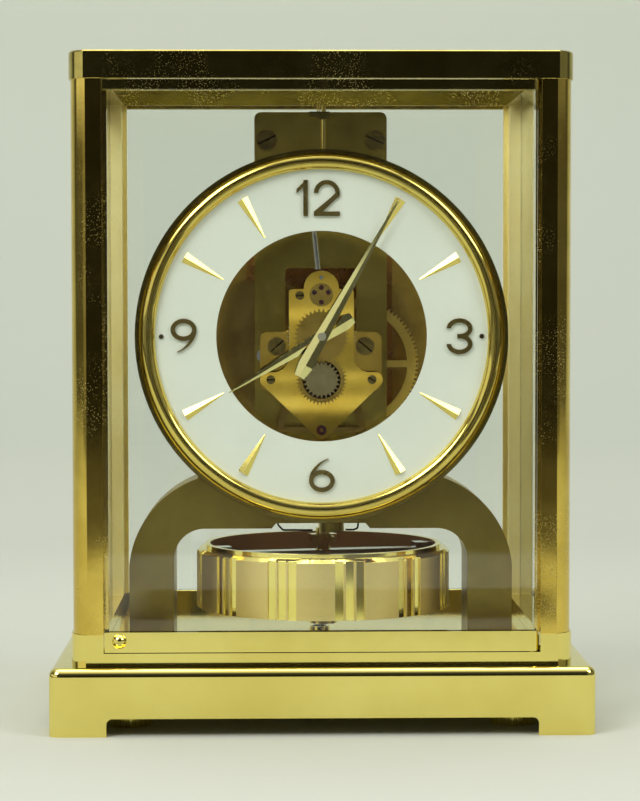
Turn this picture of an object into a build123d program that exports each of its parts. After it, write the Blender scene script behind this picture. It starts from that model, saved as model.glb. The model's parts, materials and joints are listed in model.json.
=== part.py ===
from build123d import *
import os
from math import asin, atan2, cos, degrees, hypot, radians, sin, sqrt

# A glass-cased table clock that runs on the changes of the air's temperature.
# A sealed bellows winds the mainspring, and a heavy fluted balance turns slowly
# on a hanging wire. Millimetres, +Z up, front towards -Y, origin on the table
# under the middle of the base. The case is sized round the movement: the dial
# sets the legs, the legs set the balance, and named clearances set the rest.

# Clearances that many pieces share
OVER = 1.0
FIT = 0.05
GAP = 0.3

# Dial and bezel
BEZEL_R = 61.9
BEZEL_BAND = 6.6
BEZEL_PROUD = 2.6
BEZEL_DEEP = 4.4
BEZEL_LIP = 1.2
BEZEL_RISE = 3.7
DIAL_T = 1.0
DIAL_ROOM = 0.75
HOLE_EDGE = 2.7
NUMERAL_H = 11.9
NUMERAL_STROKE = 1.5
NUMERAL_T = 0.7
NUMERAL_INSET = 9.5
NUMERAL_W = 8.6
NUMERAL_GAP = 2.0
SIX_BOWL_SHARE = 0.62
MARKER_L = 14.7
MARKER_EDGE = 2.9
MARKER_W = 3.8
MARKER_TIP_W = 0.5
MARKER_T = 1.1
HOURS = 12
QUARTERS = 4
DIAL_SCREW_R = 0.8
DIAL_SCREW_INSET = 2.1
DIAL_SCREW_HEAD = 0.4
DIAL_PILLAR_R = 1.8
DIAL_PILLAR_INSET = 11.5
DIAL_PILLAR_X = 18.0

# Hands: long kites with a ridge
MINUTE_TIP_EDGE = 0.8
MINUTE_BELLY = 11.0
MINUTE_TAIL = 15.3
HOUR_TIP_OUT = 1.0
HOUR_BELLY = 9.0
HOUR_TAIL = 12.0
HAND_W = 5.2
HAND_TIP_W = 0.35
HAND_TAIL_W = 3.6
HAND_T = 0.9
HAND_GAP = 0.5
HAND_RISE = 1.2
HAND_ROOM = 0.4
MINUTE_ANGLE = 29.3
HOUR_ANGLE = 238.8

# Bell-shaped leg frame
LEG_PROUD = 3.3
LEG_W = 15.2
LEG_DEEP = 25.0
ARCH_ROOM = 7.1
ARCH_R = 10.5
ARCH_STEP_H = 1.8
ARCH_STEP_X = 16.0
ARCH_STEP_SLANT = 1.6
CROWN_DROP = 43.6
CROWN_X = 40.3
SHOULDER_DROP = 4.9
SHOULDER_X = 42.0
HAUNCH_INSET = 7.6
HAUNCH_DROP = 15.9
WAIST_DROP = 34.4
STAFF_NOTCH_R = 4.5
BOSS_R = 4.2
BOSS_X = 4.1
BOSS_DROP = 4.1
BOSS_SET_BACK = 15.0
LEVER_R = 0.33
LEVER_SET_BACK = 4.0
LEVER_BEND_R = 0.9
LEVER_PATHS = (
    ((-14.6, 0.0), (-14.6, 0.9), (-12.9, 2.7), (-2.7, 2.75)),
    ((12.9, 0.0), (12.7, 2.1), (11.3, 2.65), (8.5, 2.65)),
)

# Movement plates
STRAP_HALF_W = 22.3
STRAP_T = 3.0
STRAP_PROUD = 13.4
STRAP_FOOT = 4.8
STRAP_R = 2.3
WINDOW_HALF_W = 12.0
WINDOW_RISE = 22.8
WINDOW_DROP = 5.0
WINDOW_R = 1.3
EARS_T = 2.0
EAR_X = 20.6
EAR_DROP = 18.4
EAR_RISE = 1.3
EAR_R = 2.8
EAR_FILLET_R = 3.3
TONGUE_X = 9.6
TONGUE_RISE = 15.4
BRIDGE_T = 2.5
BRIDGE_GAP = 5.5
BRIDGE_BODY_X = 10.85
SHOULDER_RISE = 15.7
DOME_R = 5.85
DOME_RISE = 16.0
BRIDGE_ARM_X = 20.5
BRIDGE_ARM_R = 2.5
BRIDGE_FILLET_R = 5.2
BRIDGE_TIP_R = 2.8
BACK_HALF_W = 25.0
BACK_T = 2.5
BACK_DROP = 43.0
BACK_RISE = 29.0
BACK_R = 4.0
PLATE_SPACE = 14.0
PILLAR_R = 2.2
PILLAR_X = 18.6
PILLAR_DROP = 38.4
PILLAR_RISE = 25.0
BRIDGE_PILLAR_R = 1.5
ARM_PILLAR_X = 16.9
TONGUE_DOME_R = 4.6
TOP_PILLAR_X = 7.2
TOP_PILLAR_RISE = 13.6
SCREW_HEAD_R = 1.5
SCREW_HEAD_T = 0.6
EAR_SCREW_R = 3.1
EAR_SCREW_T = 1.2
EAR_SCREW_X = 14.9
EAR_SCREW_DROP = 3.5
SLOT_W = 0.55
SLOT_SHARE = 0.6
SETTING_R = 3.9
SETTING_T = 0.5
RUBY_R = 0.85
RUBY_T = 0.25
RUBY_RING_R = 2.45
TIP_RUBY_R = 1.7
RUBY_TURNS = (20, 90, 160, 270)
BRIDGE_SLOT_TURNS = (0, 30, 0, 60)
EAR_SLOT_TURN = 40
STRAP_SCREW_R = 3.4
STRAP_SCREW_X = 18.2
STRAP_SCREW_DROP = 9.4
STRAP_SLOT_TURN = 25

# Going train and motion work: places, tooth counts and wheel layers
MOTION_DROP = 14.5
LOWER_DROP = 16.9
ESCAPE_RISE = 13.8
SPOKED_X = 10.6
SPOKED_DROP = 9.6
BARREL_ANGLE = 174.4
BARREL_MODULE = 0.5
BARREL_TEETH = 104
BARREL_PINION_TEETH = 16
SPOKED_TEETH = 92
LOWER_PINION_TEETH = 8
LOWER_TEETH = 64
MOTION_PINION_TEETH = 8
MOTION_TEETH = 64
CENTRE_PINION_TEETH = 8
FRONT_TEETH = 24
HOUR_TEETH = 36
CENTRE_TEETH = 48
ESCAPE_PINION_TEETH = 12
ESCAPE_TEETH = 15
RATCHET_TEETH = 32
UNDER_TEETH = 40
SPOKES = 4
ADDENDUM_SHARE = 0.85
DEDENDUM_SHARE = 1.2
ROOT_SHARE = 0.56
TIP_SHARE = 0.14
WHEEL_T = 0.9
GREAT_WHEEL_T = 1.3
PINION_EXTRA = 0.35
ARBOR_R = 1.0
PIVOT_R = 0.6
PIVOT_FIT = 0.05
LAYER_GAP = 0.45
SPOKED_RIM = 3.4
SPOKED_HUB_R = 5.0
SPOKE_W = 2.3
LOWER_RIM = 2.6
LOWER_HUB_R = 3.6
LOWER_SPOKE_W = 1.6
BARREL_R = 21.5
BARREL_DEEP = 7.4
BARREL_BOSS_R = 5.2
BARREL_BOSS_IN_R = 4.3
BARREL_BOSS_T = 0.8
BARREL_ARBOR_R = 2.4
RATCHET_R = 9.0
RATCHET_T = 1.2
UNDER_WHEEL_R = 8.1
UNDER_T = 0.6
HUB_RING_R = 2.0
HOUR_PIPE_R = 2.1
HOUR_SEAT_R = 1.75
HOUR_PIPE_IN_R = 1.45
MINUTE_PIPE_R = 1.4
MINUTE_STUD_R = 0.85
MINUTE_STUD_H = 0.1
ESCAPE_R = 5.1
ESCAPE_TOOTH = 1.4
ESCAPE_LEAN_SHARE = 0.55
FORK_RISE = 5.8
FORK_BOSS_R = 1.5
FORK_SPREAD = 100
FORK_ARM_W = 1.0
FORK_ARM_T = 0.7
FORK_STONE = 0.9
FORK_ROOM = 0.35

# Hanging balance
BAL_X = 1.2
LEG_ROOM = 4.65
GLASS_ROOM = 0.75
FLOOR_ROOM = 8.4
BAL_WALL_H = 20.4
BAL_CHAMFER = 1.2
BAL_STEP_INSET = 2.95
BAL_STEP_H = 1.5
BAL_WALL_T = 4.75
BAL_WEB_RISE = 7.6
BAL_WEB_T = 2.5
BAL_WEB_HOLES = 4
BAL_WEB_HOLE_R = 9.0
BAL_WEB_EDGE = 5.0
FLUTE_GROUPS = 12
FLUTES_EACH = 3
FLUTE_PITCH = 4.7
FLUTE_W = 2.9
FLUTE_DEEP = 0.55
FLUTE_TURN = 10.6
ARM_TURN = 12.3
ARM_W = 6.0
ARM_DROP = 4.3
ARM_T = 1.8
ARM_BLOCK_L = 6.0
ARM_BLOCK_W = 6.0
ARM_BLOCK_DROP = 0.7
HUB_R = 2.6
HUB_RISE = 5.1
HUB_NECK_R = 1.6
HUB_NECK_RISE = 12.7
CLAMP_L = 9.0
CLAMP_W = 5.0
CLAMP_H = 2.6
CLAMP_DROP = 0.4
CLAMP_SCREW_R = 0.95
CLAMP_SCREW_L = 5.2
LOW_DISC_R = 4.9
LOW_DISC_RISE = 2.0
LOW_DISC_T = 0.8
LOW_STEM_R = 1.6
LOW_PIN_R = 0.6
LOW_PIN_RISE = 0.6
WIRE_R = 0.2
WIRE_ROOM = 7.5
TUBE_R = 1.7
TUBE_IN_R = 1.2
TUBE_DROP = 39.0
SOCKET_R = 3.5
SOCKET_IN_R = 2.6
SOCKET_RISE = 0.9

# Suspension and regulator at the top of the strap plate
HANGER_HALF_W = 8.0
HANGER_DROP = 8.3
HANGER_T = 4.0
COLLET_R = 3.0
COLLET_RISE = 3.0
REG_X = 1.0
REG_ROD_R = 0.9
REG_ROD_L = 20.0
REG_ROD_GAP = 0.6
REG_KNOB_R = 0.8
REG_KNOB_H = 2.2
REG_BLOCK_H = 2.6
REG_BLOCK_W = 4.0
REG_TAB_X = -2.7
REG_TAB_W = 2.2
REG_TAB_H = 1.8
REG_PIN_R = 0.22
REG_PIN_H = 4.2
REG_PINS_X = (-1.05, -0.35)
STEM_TOP_X = -3.3
STEM_TOP_RISE = 46.0
STEM_LOW_X = -0.93
STEM_LOW_RISE = 22.4
STEM_TOP_R = 1.35
STEM_LOW_R = 1.05
STEM_FOOT_W = 4.0

# Bellows drum behind the movement
DRUM_R = 42.8
DRUM_ROOM = 2.3
DRUM_DEEP = 34.0
DRUM_WALL = 1.6
DRUM_LIP = 0.8
DRUM_LIP_T = 2.0
SPACER_R = 2.0
SPACER_RING_R = 22.0
SPACER_TURNS = (60, 120, 240, 300)
BELLOWS_ROOM = 4.2
BELLOWS_FOLD = 6.0
BELLOWS_RIBS = 7
BELLOWS_SPACE = 14.0
PLATE_DISC_EDGE = 1.0
PLATE_DISC_T = 1.5
REAR_ROOM = 26.0

# Base plinth and its feet
BASE_H = 22.5
BASE_SPREAD_X = 6.5
BASE_SPREAD_Y = 7.7
BASE_CORNER_R = 3.5
BASE_EDGE_R = 2.75
BASE_WALL = 4.0
BASE_DECK = 4.0
FOOT_W = 19.0
NOTCH_H = 6.0
NOTCH_R = 2.0
STUD_BOSS_R = 5.0
STUD_INSET = 25.0
STUD_R = 2.5
STUD_DISC_R = 8.0
STUD_DISC_H = 4.0
STUD_BOSS_END = 4.0
STUD_KNURLS = 24
KNURL_DEPTH = 0.5

# Case: bottom block, posts and lid share one corner shape
SIDE_ROOM = 7.1
POST_W = 11.2
BLOCK_H = 10.0
HEAD_ROOM = 9.4
LID_H = 9.3
LID_EDGE_R = 0.8
CORNER_ACROSS = 5.3
CORNER_DEEP = 8.5
POST_SET_IN = 0.6
POST_DEEP = 15.0
POST_LIP = 1.5
POST_LIP_T = 2.0
PANEL_T = 4.8
PANE_T = 3.0
SIDE_PANE_T = 2.2
GROOVE_DEEP = 3.0
SILL_H = 3.9
DECK_H = 2.5
FLOOR_T = 3.0
LID_BORDER = 12.0
TOP_PANE_T = 3.0
TOP_LEDGE = 3.0

# Front door and rear panel
RAIL_LOW_H = 6.7
RAIL_TOP_H = 3.4
RAIL_GROOVE = 1.5
DOOR_GAP = 0.3
DOOR_PIN_R = 1.0
DOOR_PIN_L = 1.6
KNOB_R = 2.4
KNOB_DOME_H = 1.6
KNOB_STEM_R = 1.1
KNOB_INSET = 5.2
KNOB_RISE = 3.7
KNOB_SLOT_W = 0.55
KNOB_SLOT_DEEP = 0.6
LATCH_L = 4.9
LATCH_W = 1.8
LATCH_T = 0.8

BRASS = (0.80, 0.68, 0.30)
STEEL = (0.70, 0.71, 0.72)
GLASS = (0.75, 0.85, 0.82, 0.35)
WHITE = (0.93, 0.93, 0.90)
DARK = (0.35, 0.28, 0.15)
RUBY = (0.50, 0.05, 0.12)

# Widths, from the dial outwards
LEG_OUT_X = BEZEL_R + LEG_PROUD
LEG_IN_X = LEG_OUT_X - LEG_W
BAL_R = LEG_IN_X - BAL_X - LEG_ROOM
POST_IN_X = LEG_OUT_X + SIDE_ROOM
CASE_W = 2 * (POST_IN_X + POST_W)
BASE_W = CASE_W + 2 * BASE_SPREAD_X
BEZEL_IN_R = BEZEL_R - BEZEL_BAND
MARKER_OUT_R = BEZEL_IN_R - MARKER_EDGE
MARKER_IN_R = MARKER_OUT_R - MARKER_L
DIAL_HOLE_R = MARKER_IN_R - HOLE_EDGE
NUMERAL_RING_R = BEZEL_IN_R - NUMERAL_INSET
DIAL_SCREW_RING_R = BEZEL_IN_R - DIAL_SCREW_INSET
DIAL_PILLAR_RING_R = BEZEL_R - DIAL_PILLAR_INSET
MINUTE_L = MARKER_OUT_R - MINUTE_TIP_EDGE
HOUR_L = DIAL_HOLE_R + HOUR_TIP_OUT

# Depths: the balance hangs behind the movement, and the case closes round both
PANE_IN = (PANEL_T + PANE_T) / 2
HANDS_DEEP = HAND_ROOM + 2 * HAND_T + HAND_GAP + HAND_RISE + DIAL_T + DIAL_ROOM
WHEELS_DEEP = WHEEL_T + LAYER_GAP + UNDER_T + GAP
PLATES_DEEP = BRIDGE_T + BRIDGE_GAP + EARS_T + STRAP_T + PLATE_SPACE + BACK_T
FRONT_PART = PANE_IN + max(HANDS_DEEP + WHEELS_DEEP + PLATES_DEEP + WIRE_ROOM, BAL_R + GLASS_ROOM)
REAR_PART = TUBE_R + DRUM_ROOM + DRUM_DEEP + DRUM_LIP_T + REAR_ROOM + PANEL_T
CASE_D = FRONT_PART + REAR_PART
BASE_D = CASE_D + 2 * BASE_SPREAD_Y
FRONT_Y = -CASE_D / 2
PANEL_BACK_Y = FRONT_Y + PANEL_T
BAL_Y = FRONT_Y + FRONT_PART
BACK_END_Y = BAL_Y - WIRE_ROOM
BACK_Y = BACK_END_Y - BACK_T
STRAP_BACK_Y = BACK_Y - PLATE_SPACE
STRAP_Y = STRAP_BACK_Y - STRAP_T
EARS_Y = STRAP_Y - EARS_T
BRIDGE_BACK_Y = EARS_Y - BRIDGE_GAP
BRIDGE_Y = BRIDGE_BACK_Y - BRIDGE_T
UNDER_Y = BRIDGE_Y - GAP - UNDER_T
FRONT_WHEEL_Y = UNDER_Y - LAYER_GAP - WHEEL_T
DIAL_Y = FRONT_WHEEL_Y - DIAL_ROOM - DIAL_T
HOUR_Y = DIAL_Y - HAND_RISE - HAND_T
MINUTE_Y = HOUR_Y - HAND_GAP - HAND_T
LEG_FRONT_Y = STRAP_BACK_Y
LEG_REAR_Y = LEG_FRONT_Y + LEG_DEEP
DRUM_FRONT_Y = BAL_Y + TUBE_R + DRUM_ROOM
DRUM_BACK_Y = DRUM_FRONT_Y + DRUM_DEEP
REG_Y = STRAP_Y - REG_ROD_GAP - REG_ROD_R

# Wheel layers, each named by its front face
MOTION_WHEEL_Y = BRIDGE_BACK_Y + LAYER_GAP
CENTRE_WHEEL_Y = MOTION_WHEEL_Y + WHEEL_T + LAYER_GAP
ESCAPE_WHEEL_Y = CENTRE_WHEEL_Y + WHEEL_T + LAYER_GAP
SPOKED_Y = STRAP_BACK_Y + 2 * LAYER_GAP
GREAT_Y = SPOKED_Y + WHEEL_T + 2 * LAYER_GAP
DRUM_BARREL_Y = GREAT_Y + GREAT_WHEEL_T

# Heights, from the table upwards
BLOCK_Z = BASE_H
POST_Z = BLOCK_Z + BLOCK_H
SILL_Z = BLOCK_Z + SILL_H
DECK_Z = BLOCK_Z + DECK_H
FLOOR_Z = DECK_Z + FLOOR_T
BAL_LOW_Z = FLOOR_Z + FLOOR_ROOM
BAL_HIGH_Z = BAL_LOW_Z + BAL_WALL_H
BAL_STEP_Z = BAL_HIGH_Z + BAL_STEP_H
BAL_WEB_Z = BAL_LOW_Z + BAL_WEB_RISE
ARM_LOW_Z = BAL_STEP_Z - ARM_DROP
HUB_TOP_Z = BAL_STEP_Z + HUB_RISE
HUB_NECK_Z = BAL_STEP_Z + HUB_NECK_RISE
LOW_DISC_Z = FLOOR_Z + LOW_DISC_RISE
LOW_PIN_Z = FLOOR_Z + LOW_PIN_RISE
ARCH_Z = BAL_STEP_Z + ARCH_ROOM
ARCH_STEP_Z = ARCH_Z + ARCH_STEP_H
DIAL_Z = ARCH_Z + BEZEL_R + BEZEL_RISE
CROWN_Z = DIAL_Z - CROWN_DROP
MOTION_Z = DIAL_Z - MOTION_DROP
LOWER_Z = MOTION_Z - LOWER_DROP
ESCAPE_Z = DIAL_Z + ESCAPE_RISE
SPOKED_Z = DIAL_Z - SPOKED_DROP
STRAP_TOP_Z = DIAL_Z + BEZEL_R + STRAP_PROUD
STRAP_LOW_Z = ARCH_STEP_Z + STRAP_FOOT
HANGER_Z = STRAP_TOP_Z - HANGER_DROP
LID_Z = STRAP_TOP_Z + HEAD_ROOM
TOTAL_H = LID_Z + LID_H

# Inner sizes of the balance and the bellows
BAL_STEP_R = BAL_R - BAL_STEP_INSET
BAL_BORE_R = BAL_R - BAL_WALL_T
BAL_WEB_RING_R = BAL_BORE_R - BAL_WEB_EDGE - BAL_WEB_HOLE_R
BELLOWS_R = DRUM_R - DRUM_WALL - BELLOWS_ROOM
BELLOWS_IN_R = BELLOWS_R - BELLOWS_FOLD
BELLOWS_L = DRUM_DEEP - BELLOWS_SPACE

# Arbor places
BARREL_C = BARREL_MODULE * (BARREL_TEETH + BARREL_PINION_TEETH) / 2
HANDS_AT = (0.0, DIAL_Z)
MOTION_AT = (0.0, MOTION_Z)
LOWER_AT = (0.0, LOWER_Z)
ESCAPE_AT = (0.0, ESCAPE_Z)
FORK_AT = (0.0, ESCAPE_Z + FORK_RISE)
SPOKED_AT = (SPOKED_X, SPOKED_Z)
BARREL_AT = (SPOKED_X + BARREL_C * cos(radians(BARREL_ANGLE)),
             SPOKED_Z + BARREL_C * sin(radians(BARREL_ANGLE)))


def block(x0, x1, y0, y1, z0, z1):
    # A box between two corners.
    size = (x1 - x0, y1 - y0, z1 - z0)
    middle = ((x0 + x1) / 2, (y0 + y1) / 2, (z0 + z1) / 2)
    return Pos(*middle) * Box(*size)


def rod_z(radius, z0, z1, x=0.0, y=0.0):
    # An upright cylinder.
    return Pos(x, y, (z0 + z1) / 2) * Cylinder(radius, z1 - z0)


def rod_y(radius, y0, y1, x=0.0, z=0.0):
    # A cylinder that runs from front to back.
    return Pos(x, (y0 + y1) / 2, z) * Rot(90, 0, 0) * Cylinder(radius, y1 - y0)


def plate(sketch, y0, y1):
    # A sketch drawn in X and Z, made thick from y0 back to y1.
    return extrude(Plane.XZ.offset(-y1) * sketch, y1 - y0)


def spot(x, z):
    # The place of a feature in an X and Z sketch.
    return Pos(x, z)


def slab(x0, x1, z0, z1):
    # A rectangle between two corners of an X and Z sketch.
    return Pos((x0 + x1) / 2, (z0 + z1) / 2) * Rectangle(x1 - x0, z1 - z0)


def round_slab(x0, x1, z0, z1, radius):
    # The same rectangle with round corners.
    return Pos((x0 + x1) / 2, (z0 + z1) / 2) * RectangleRounded(x1 - x0, z1 - z0, radius)


def save(shape, name, colour):
    # Write one sub-part with its name.
    shape.label = name
    shape.color = Color(*colour)
    export_step(shape, "parts/" + name + ".step")


def solids_of(shapes):
    # Several separate solids of one node.
    return Compound(children=list(shapes))


class Gear:
    # One toothed wheel: its place, tooth count, pitch radius and tooth phase.
    def __init__(self, x, z, teeth, pitch_r):
        self.x = x
        self.z = z
        self.teeth = teeth
        self.pitch_r = pitch_r
        self.module = 2 * pitch_r / teeth
        self.phase = 0.0

    def mesh(self, other):
        # Turn this gear so that a tooth enters a gap of the other one.
        line = degrees(atan2(self.z - other.z, self.x - other.x))
        other_teeth = (other.phase - line) * other.teeth / 360
        self.phase = line + 180 - (other_teeth - 1 / 2) * 360 / self.teeth
        return self

    def outline(self):
        # Flat-sided teeth that narrow from root to tip.
        root = self.pitch_r - DEDENDUM_SHARE * self.module
        tip = self.pitch_r + ADDENDUM_SHARE * self.module
        step = 360 / self.teeth
        corners = []
        for tooth in range(self.teeth):
            middle = self.phase + tooth * step
            corners.append((root, middle - step * ROOT_SHARE / 2))
            corners.append((tip, middle - step * TIP_SHARE / 2))
            corners.append((tip, middle + step * TIP_SHARE / 2))
            corners.append((root, middle + step * ROOT_SHARE / 2))
        points = [(r * cos(radians(a)), r * sin(radians(a))) for r, a in corners]
        return make_face(Polyline(*points, close=True))

    def solid(self, y0, y1):
        # The toothed disc between two depths.
        return plate(spot(self.x, self.z) * self.outline(), y0, y1)


def pair(first, second, first_teeth, second_teeth):
    # Two gears on given centres, with radii in the ratio of their teeth.
    spacing = hypot(second[0] - first[0], second[1] - first[1])
    total = first_teeth + second_teeth
    one = Gear(first[0], first[1], first_teeth, spacing * first_teeth / total)
    two = Gear(second[0], second[1], second_teeth, spacing * second_teeth / total)
    return one, two.mesh(one)


great_gear, barrel_pinion = pair(BARREL_AT, SPOKED_AT, BARREL_TEETH, BARREL_PINION_TEETH)
spoked_gear, lower_pinion = pair(SPOKED_AT, LOWER_AT, SPOKED_TEETH, LOWER_PINION_TEETH)
lower_gear, motion_pinion = pair(LOWER_AT, MOTION_AT, LOWER_TEETH, MOTION_PINION_TEETH)
motion_gear, centre_pinion = pair(MOTION_AT, HANDS_AT, MOTION_TEETH, CENTRE_PINION_TEETH)
front_gear, hour_gear = pair(MOTION_AT, HANDS_AT, FRONT_TEETH, HOUR_TEETH)
centre_gear, escape_pinion = pair(HANDS_AT, ESCAPE_AT, CENTRE_TEETH, ESCAPE_PINION_TEETH)


def case_outline(set_in=0.0):
    # The plan of the case: flat sides that turn through an arc to a front arris.
    half_w = CASE_W / 2 - set_in
    half_d = CASE_D / 2
    radius = (CORNER_ACROSS ** 2 + CORNER_DEEP ** 2) / (2 * CORNER_ACROSS)
    sweep = asin(CORNER_DEEP / radius) / 2
    arris = (half_w - CORNER_ACROSS, half_d)
    side = (half_w, half_d - CORNER_DEEP)
    bulge = (half_w - radius * (1 - cos(sweep)), side[1] + radius * sin(sweep))
    curves = []
    quarters = [(1, 1), (-1, 1), (-1, -1), (1, -1)]
    for turn, (sx, sy) in enumerate(quarters):
        ends = [side, bulge, arris] if turn % 2 == 0 else [arris, bulge, side]
        placed = [(sx * px, sy * py) for px, py in ends]
        curves.append(ThreePointArc(*placed))
    edges = []
    for turn, curve in enumerate(curves):
        following = curves[(turn + 1) % len(curves)]
        edges.append(curve)
        edges.append(Line(curve @ 1, following @ 0))
    return make_face(Curve() + edges)


def base_plinth():
    # A hollow cast plinth that stands on four corner feet.
    body = block(-BASE_W / 2, BASE_W / 2, -BASE_D / 2, BASE_D / 2, 0, BASE_H)
    body = fillet(body.edges().filter_by(Axis.Z), BASE_CORNER_R)
    body = fillet(body.faces().sort_by(Axis.Z)[-1].edges(), BASE_EDGE_R)
    in_x = BASE_W / 2 - BASE_WALL
    in_y = BASE_D / 2 - BASE_WALL
    deck = BASE_H - BASE_DECK
    body -= block(-in_x, in_x, -in_y, in_y, -OVER, deck)
    free_x = BASE_W / 2 - FOOT_W
    free_y = BASE_D / 2 - FOOT_W
    for width, depth, turn in ((free_x, BASE_D / 2, 0), (free_y, BASE_W / 2, 90)):
        sheet = RectangleRounded(2 * width, 2 * NOTCH_H, NOTCH_R)
        body -= Rot(0, 0, turn) * plate(sheet, -depth - OVER, depth + OVER)
    for side in (-1, 1):
        x, y = stud_place(side)
        body += rod_z(STUD_BOSS_R, STUD_DISC_H + STUD_BOSS_END, deck + FIT, x, y)
        body -= rod_z(STUD_R + FIT, 0, BASE_H + OVER, x, y)
    return body


def stud_place(side):
    # Where a levelling foot stands under the front corners.
    return side * (BASE_W / 2 - STUD_INSET), -(BASE_D / 2 - STUD_INSET)


def levelling_foot(side):
    # A threaded stud with a knurled disc, screwed up to its stop.
    x, y = stud_place(side)
    rim = Circle(STUD_DISC_R)
    for turn in range(STUD_KNURLS):
        rim -= Rot(0, 0, turn * 360 / STUD_KNURLS) * Pos(STUD_DISC_R, 0) * Circle(KNURL_DEPTH)
    disc = Pos(x, y, 0) * extrude(rim, STUD_DISC_H)
    return disc + rod_z(STUD_R, STUD_DISC_H - FIT, BASE_H - BASE_DECK, x, y)


def seat_depths():
    # The floor lies between the two flush panels, clear of the moving door.
    return -CASE_D / 2 + PANEL_T + GAP, CASE_D / 2 - PANEL_T - FIT


def bottom_frame():
    # The block under the glass: corner blocks, sills and a deck for the floor.
    front, rear = seat_depths()
    body = extrude(Pos(0, 0, BLOCK_Z) * case_outline(), BLOCK_H)
    body -= block(-POST_IN_X, POST_IN_X, front - FIT, rear + FIT, DECK_Z, SILL_Z + OVER)
    body -= block(-POST_IN_X, POST_IN_X, -CASE_D, CASE_D, SILL_Z, POST_Z + OVER)
    body -= rod_z(SOCKET_R + GAP, BLOCK_Z - OVER, DECK_Z + OVER, 0, BAL_Y)
    body -= door_pin(SILL_Z, -1, FIT)
    return body


def floor_plate():
    # The polished floor inside the case.
    front, rear = seat_depths()
    in_x = POST_IN_X - FIT
    body = block(-in_x, in_x, front, rear, DECK_Z, FLOOR_Z)
    return body - rod_z(SOCKET_R + FIT, DECK_Z - OVER, FLOOR_Z + OVER, 0, BAL_Y)


def post_lip_depth():
    # The lips of the posts stand a gap behind the flush panels.
    return CASE_D / 2 - PANEL_T - GAP - POST_LIP_T


def corner_post(side, end):
    # One post: round outside, square inside, grooved for the side glass.
    outline = case_outline(POST_SET_IN)
    body = extrude(Pos(0, 0, POST_Z) * outline, LID_Z - POST_Z)
    deep = CASE_D / 2 - POST_DEEP
    body &= block(POST_IN_X, CASE_W, deep, CASE_D, POST_Z, LID_Z)
    lip_x = POST_IN_X - POST_LIP
    lip_y = post_lip_depth()
    body += block(lip_x, POST_IN_X + FIT, lip_y, lip_y + POST_LIP_T, POST_Z, LID_Z)
    middle = side_pane_x()
    half = SIDE_PANE_T / 2 + FIT
    groove_y = deep + GROOVE_DEEP + FIT
    body -= block(middle - half, middle + half, deep - OVER, groove_y, POST_Z - OVER, LID_Z + OVER)
    if side < 0:
        body = mirror(body, Plane.YZ)
    if end < 0:
        body = mirror(body, Plane.XZ)
    return body


def side_pane_x():
    # The middle of the side glass, halfway through the post.
    return (POST_IN_X + CASE_W / 2 - POST_SET_IN) / 2


def side_glass(side):
    # A side pane held in the grooves of its two posts.
    half = CASE_D / 2 - POST_DEEP + GROOVE_DEEP
    x = side * side_pane_x()
    return block(x - SIDE_PANE_T / 2, x + SIDE_PANE_T / 2, -half, half, POST_Z, LID_Z)


def lid_opening():
    # Half sizes of the lid's opening, and the level of the ledge under the glass.
    half_x = CASE_W / 2 - LID_BORDER
    half_y = CASE_D / 2 - LID_BORDER
    return half_x, half_y, TOTAL_H - LID_EDGE_R - TOP_PANE_T


def lid_frame():
    # The top frame, with a ledge that carries the top glass.
    body = extrude(Pos(0, 0, LID_Z) * case_outline(), LID_H)
    body = fillet(body.faces().sort_by(Axis.Z)[-1].edges(), LID_EDGE_R)
    x, y, ledge = lid_opening()
    body -= block(-x, x, -y, y, LID_Z - OVER, TOTAL_H + OVER)
    wide_x = x + TOP_LEDGE
    wide_y = y + TOP_LEDGE
    body -= block(-wide_x, wide_x, -wide_y, wide_y, ledge, TOTAL_H + OVER)
    body -= door_pin(LID_Z, 1, FIT)
    return body


def top_glass():
    # The pane that lies on the ledge of the lid.
    x, y, ledge = lid_opening()
    wide_x = x + TOP_LEDGE - FIT
    wide_y = y + TOP_LEDGE - FIT
    return block(-wide_x, wide_x, -wide_y, wide_y, ledge, ledge + TOP_PANE_T)


def door_axis():
    # The door turns on pins at its right end, in the middle of its thickness.
    return POST_IN_X - DOOR_GAP - PANEL_T / 2, FRONT_Y + PANEL_T / 2


def door_pin(level, way, clearance=0.0):
    # A pivot pin of the door, up into the lid or down into the sill.
    x, y = door_axis()
    reach = way * (DOOR_PIN_L + clearance)
    start = level - way * DOOR_GAP
    low = min(start, level + reach)
    high = max(start, level + reach)
    return rod_z(DOOR_PIN_R + clearance, low, high, x, y)


def rail(z0, z1, groove_z0, groove_z1):
    # A door rail with a round pivot end and a groove for the glass.
    x, y = door_axis()
    left = -POST_IN_X + DOOR_GAP
    body = block(left, x, y - PANEL_T / 2, y + PANEL_T / 2, z0, z1)
    body += rod_z(PANEL_T / 2, z0, z1, x, y)
    half = PANE_T / 2 + FIT
    body -= block(left - OVER, x + PANEL_T, y - half, y + half, groove_z0, groove_z1)
    return body


def low_rail_top():
    return SILL_Z + DOOR_GAP + RAIL_LOW_H


def front_bottom_rail():
    # The lower rail of the door, with its pivot pin and a hole for the lock.
    z0 = SILL_Z + DOOR_GAP
    z1 = low_rail_top()
    body = rail(z0, z1, z1 - RAIL_GROOVE, z1 + OVER)
    body += door_pin(SILL_Z, -1)
    x, z = knob_place()
    body -= rod_y(KNOB_STEM_R + FIT, FRONT_Y - OVER, PANEL_BACK_Y + OVER, x, z)
    return body


def front_top_rail():
    # The upper rail of the door, with its pivot pin.
    z1 = LID_Z - DOOR_GAP
    z0 = z1 - RAIL_TOP_H
    return rail(z0, z1, z0 - OVER, z0 + RAIL_GROOVE) + door_pin(LID_Z, 1)


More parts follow.
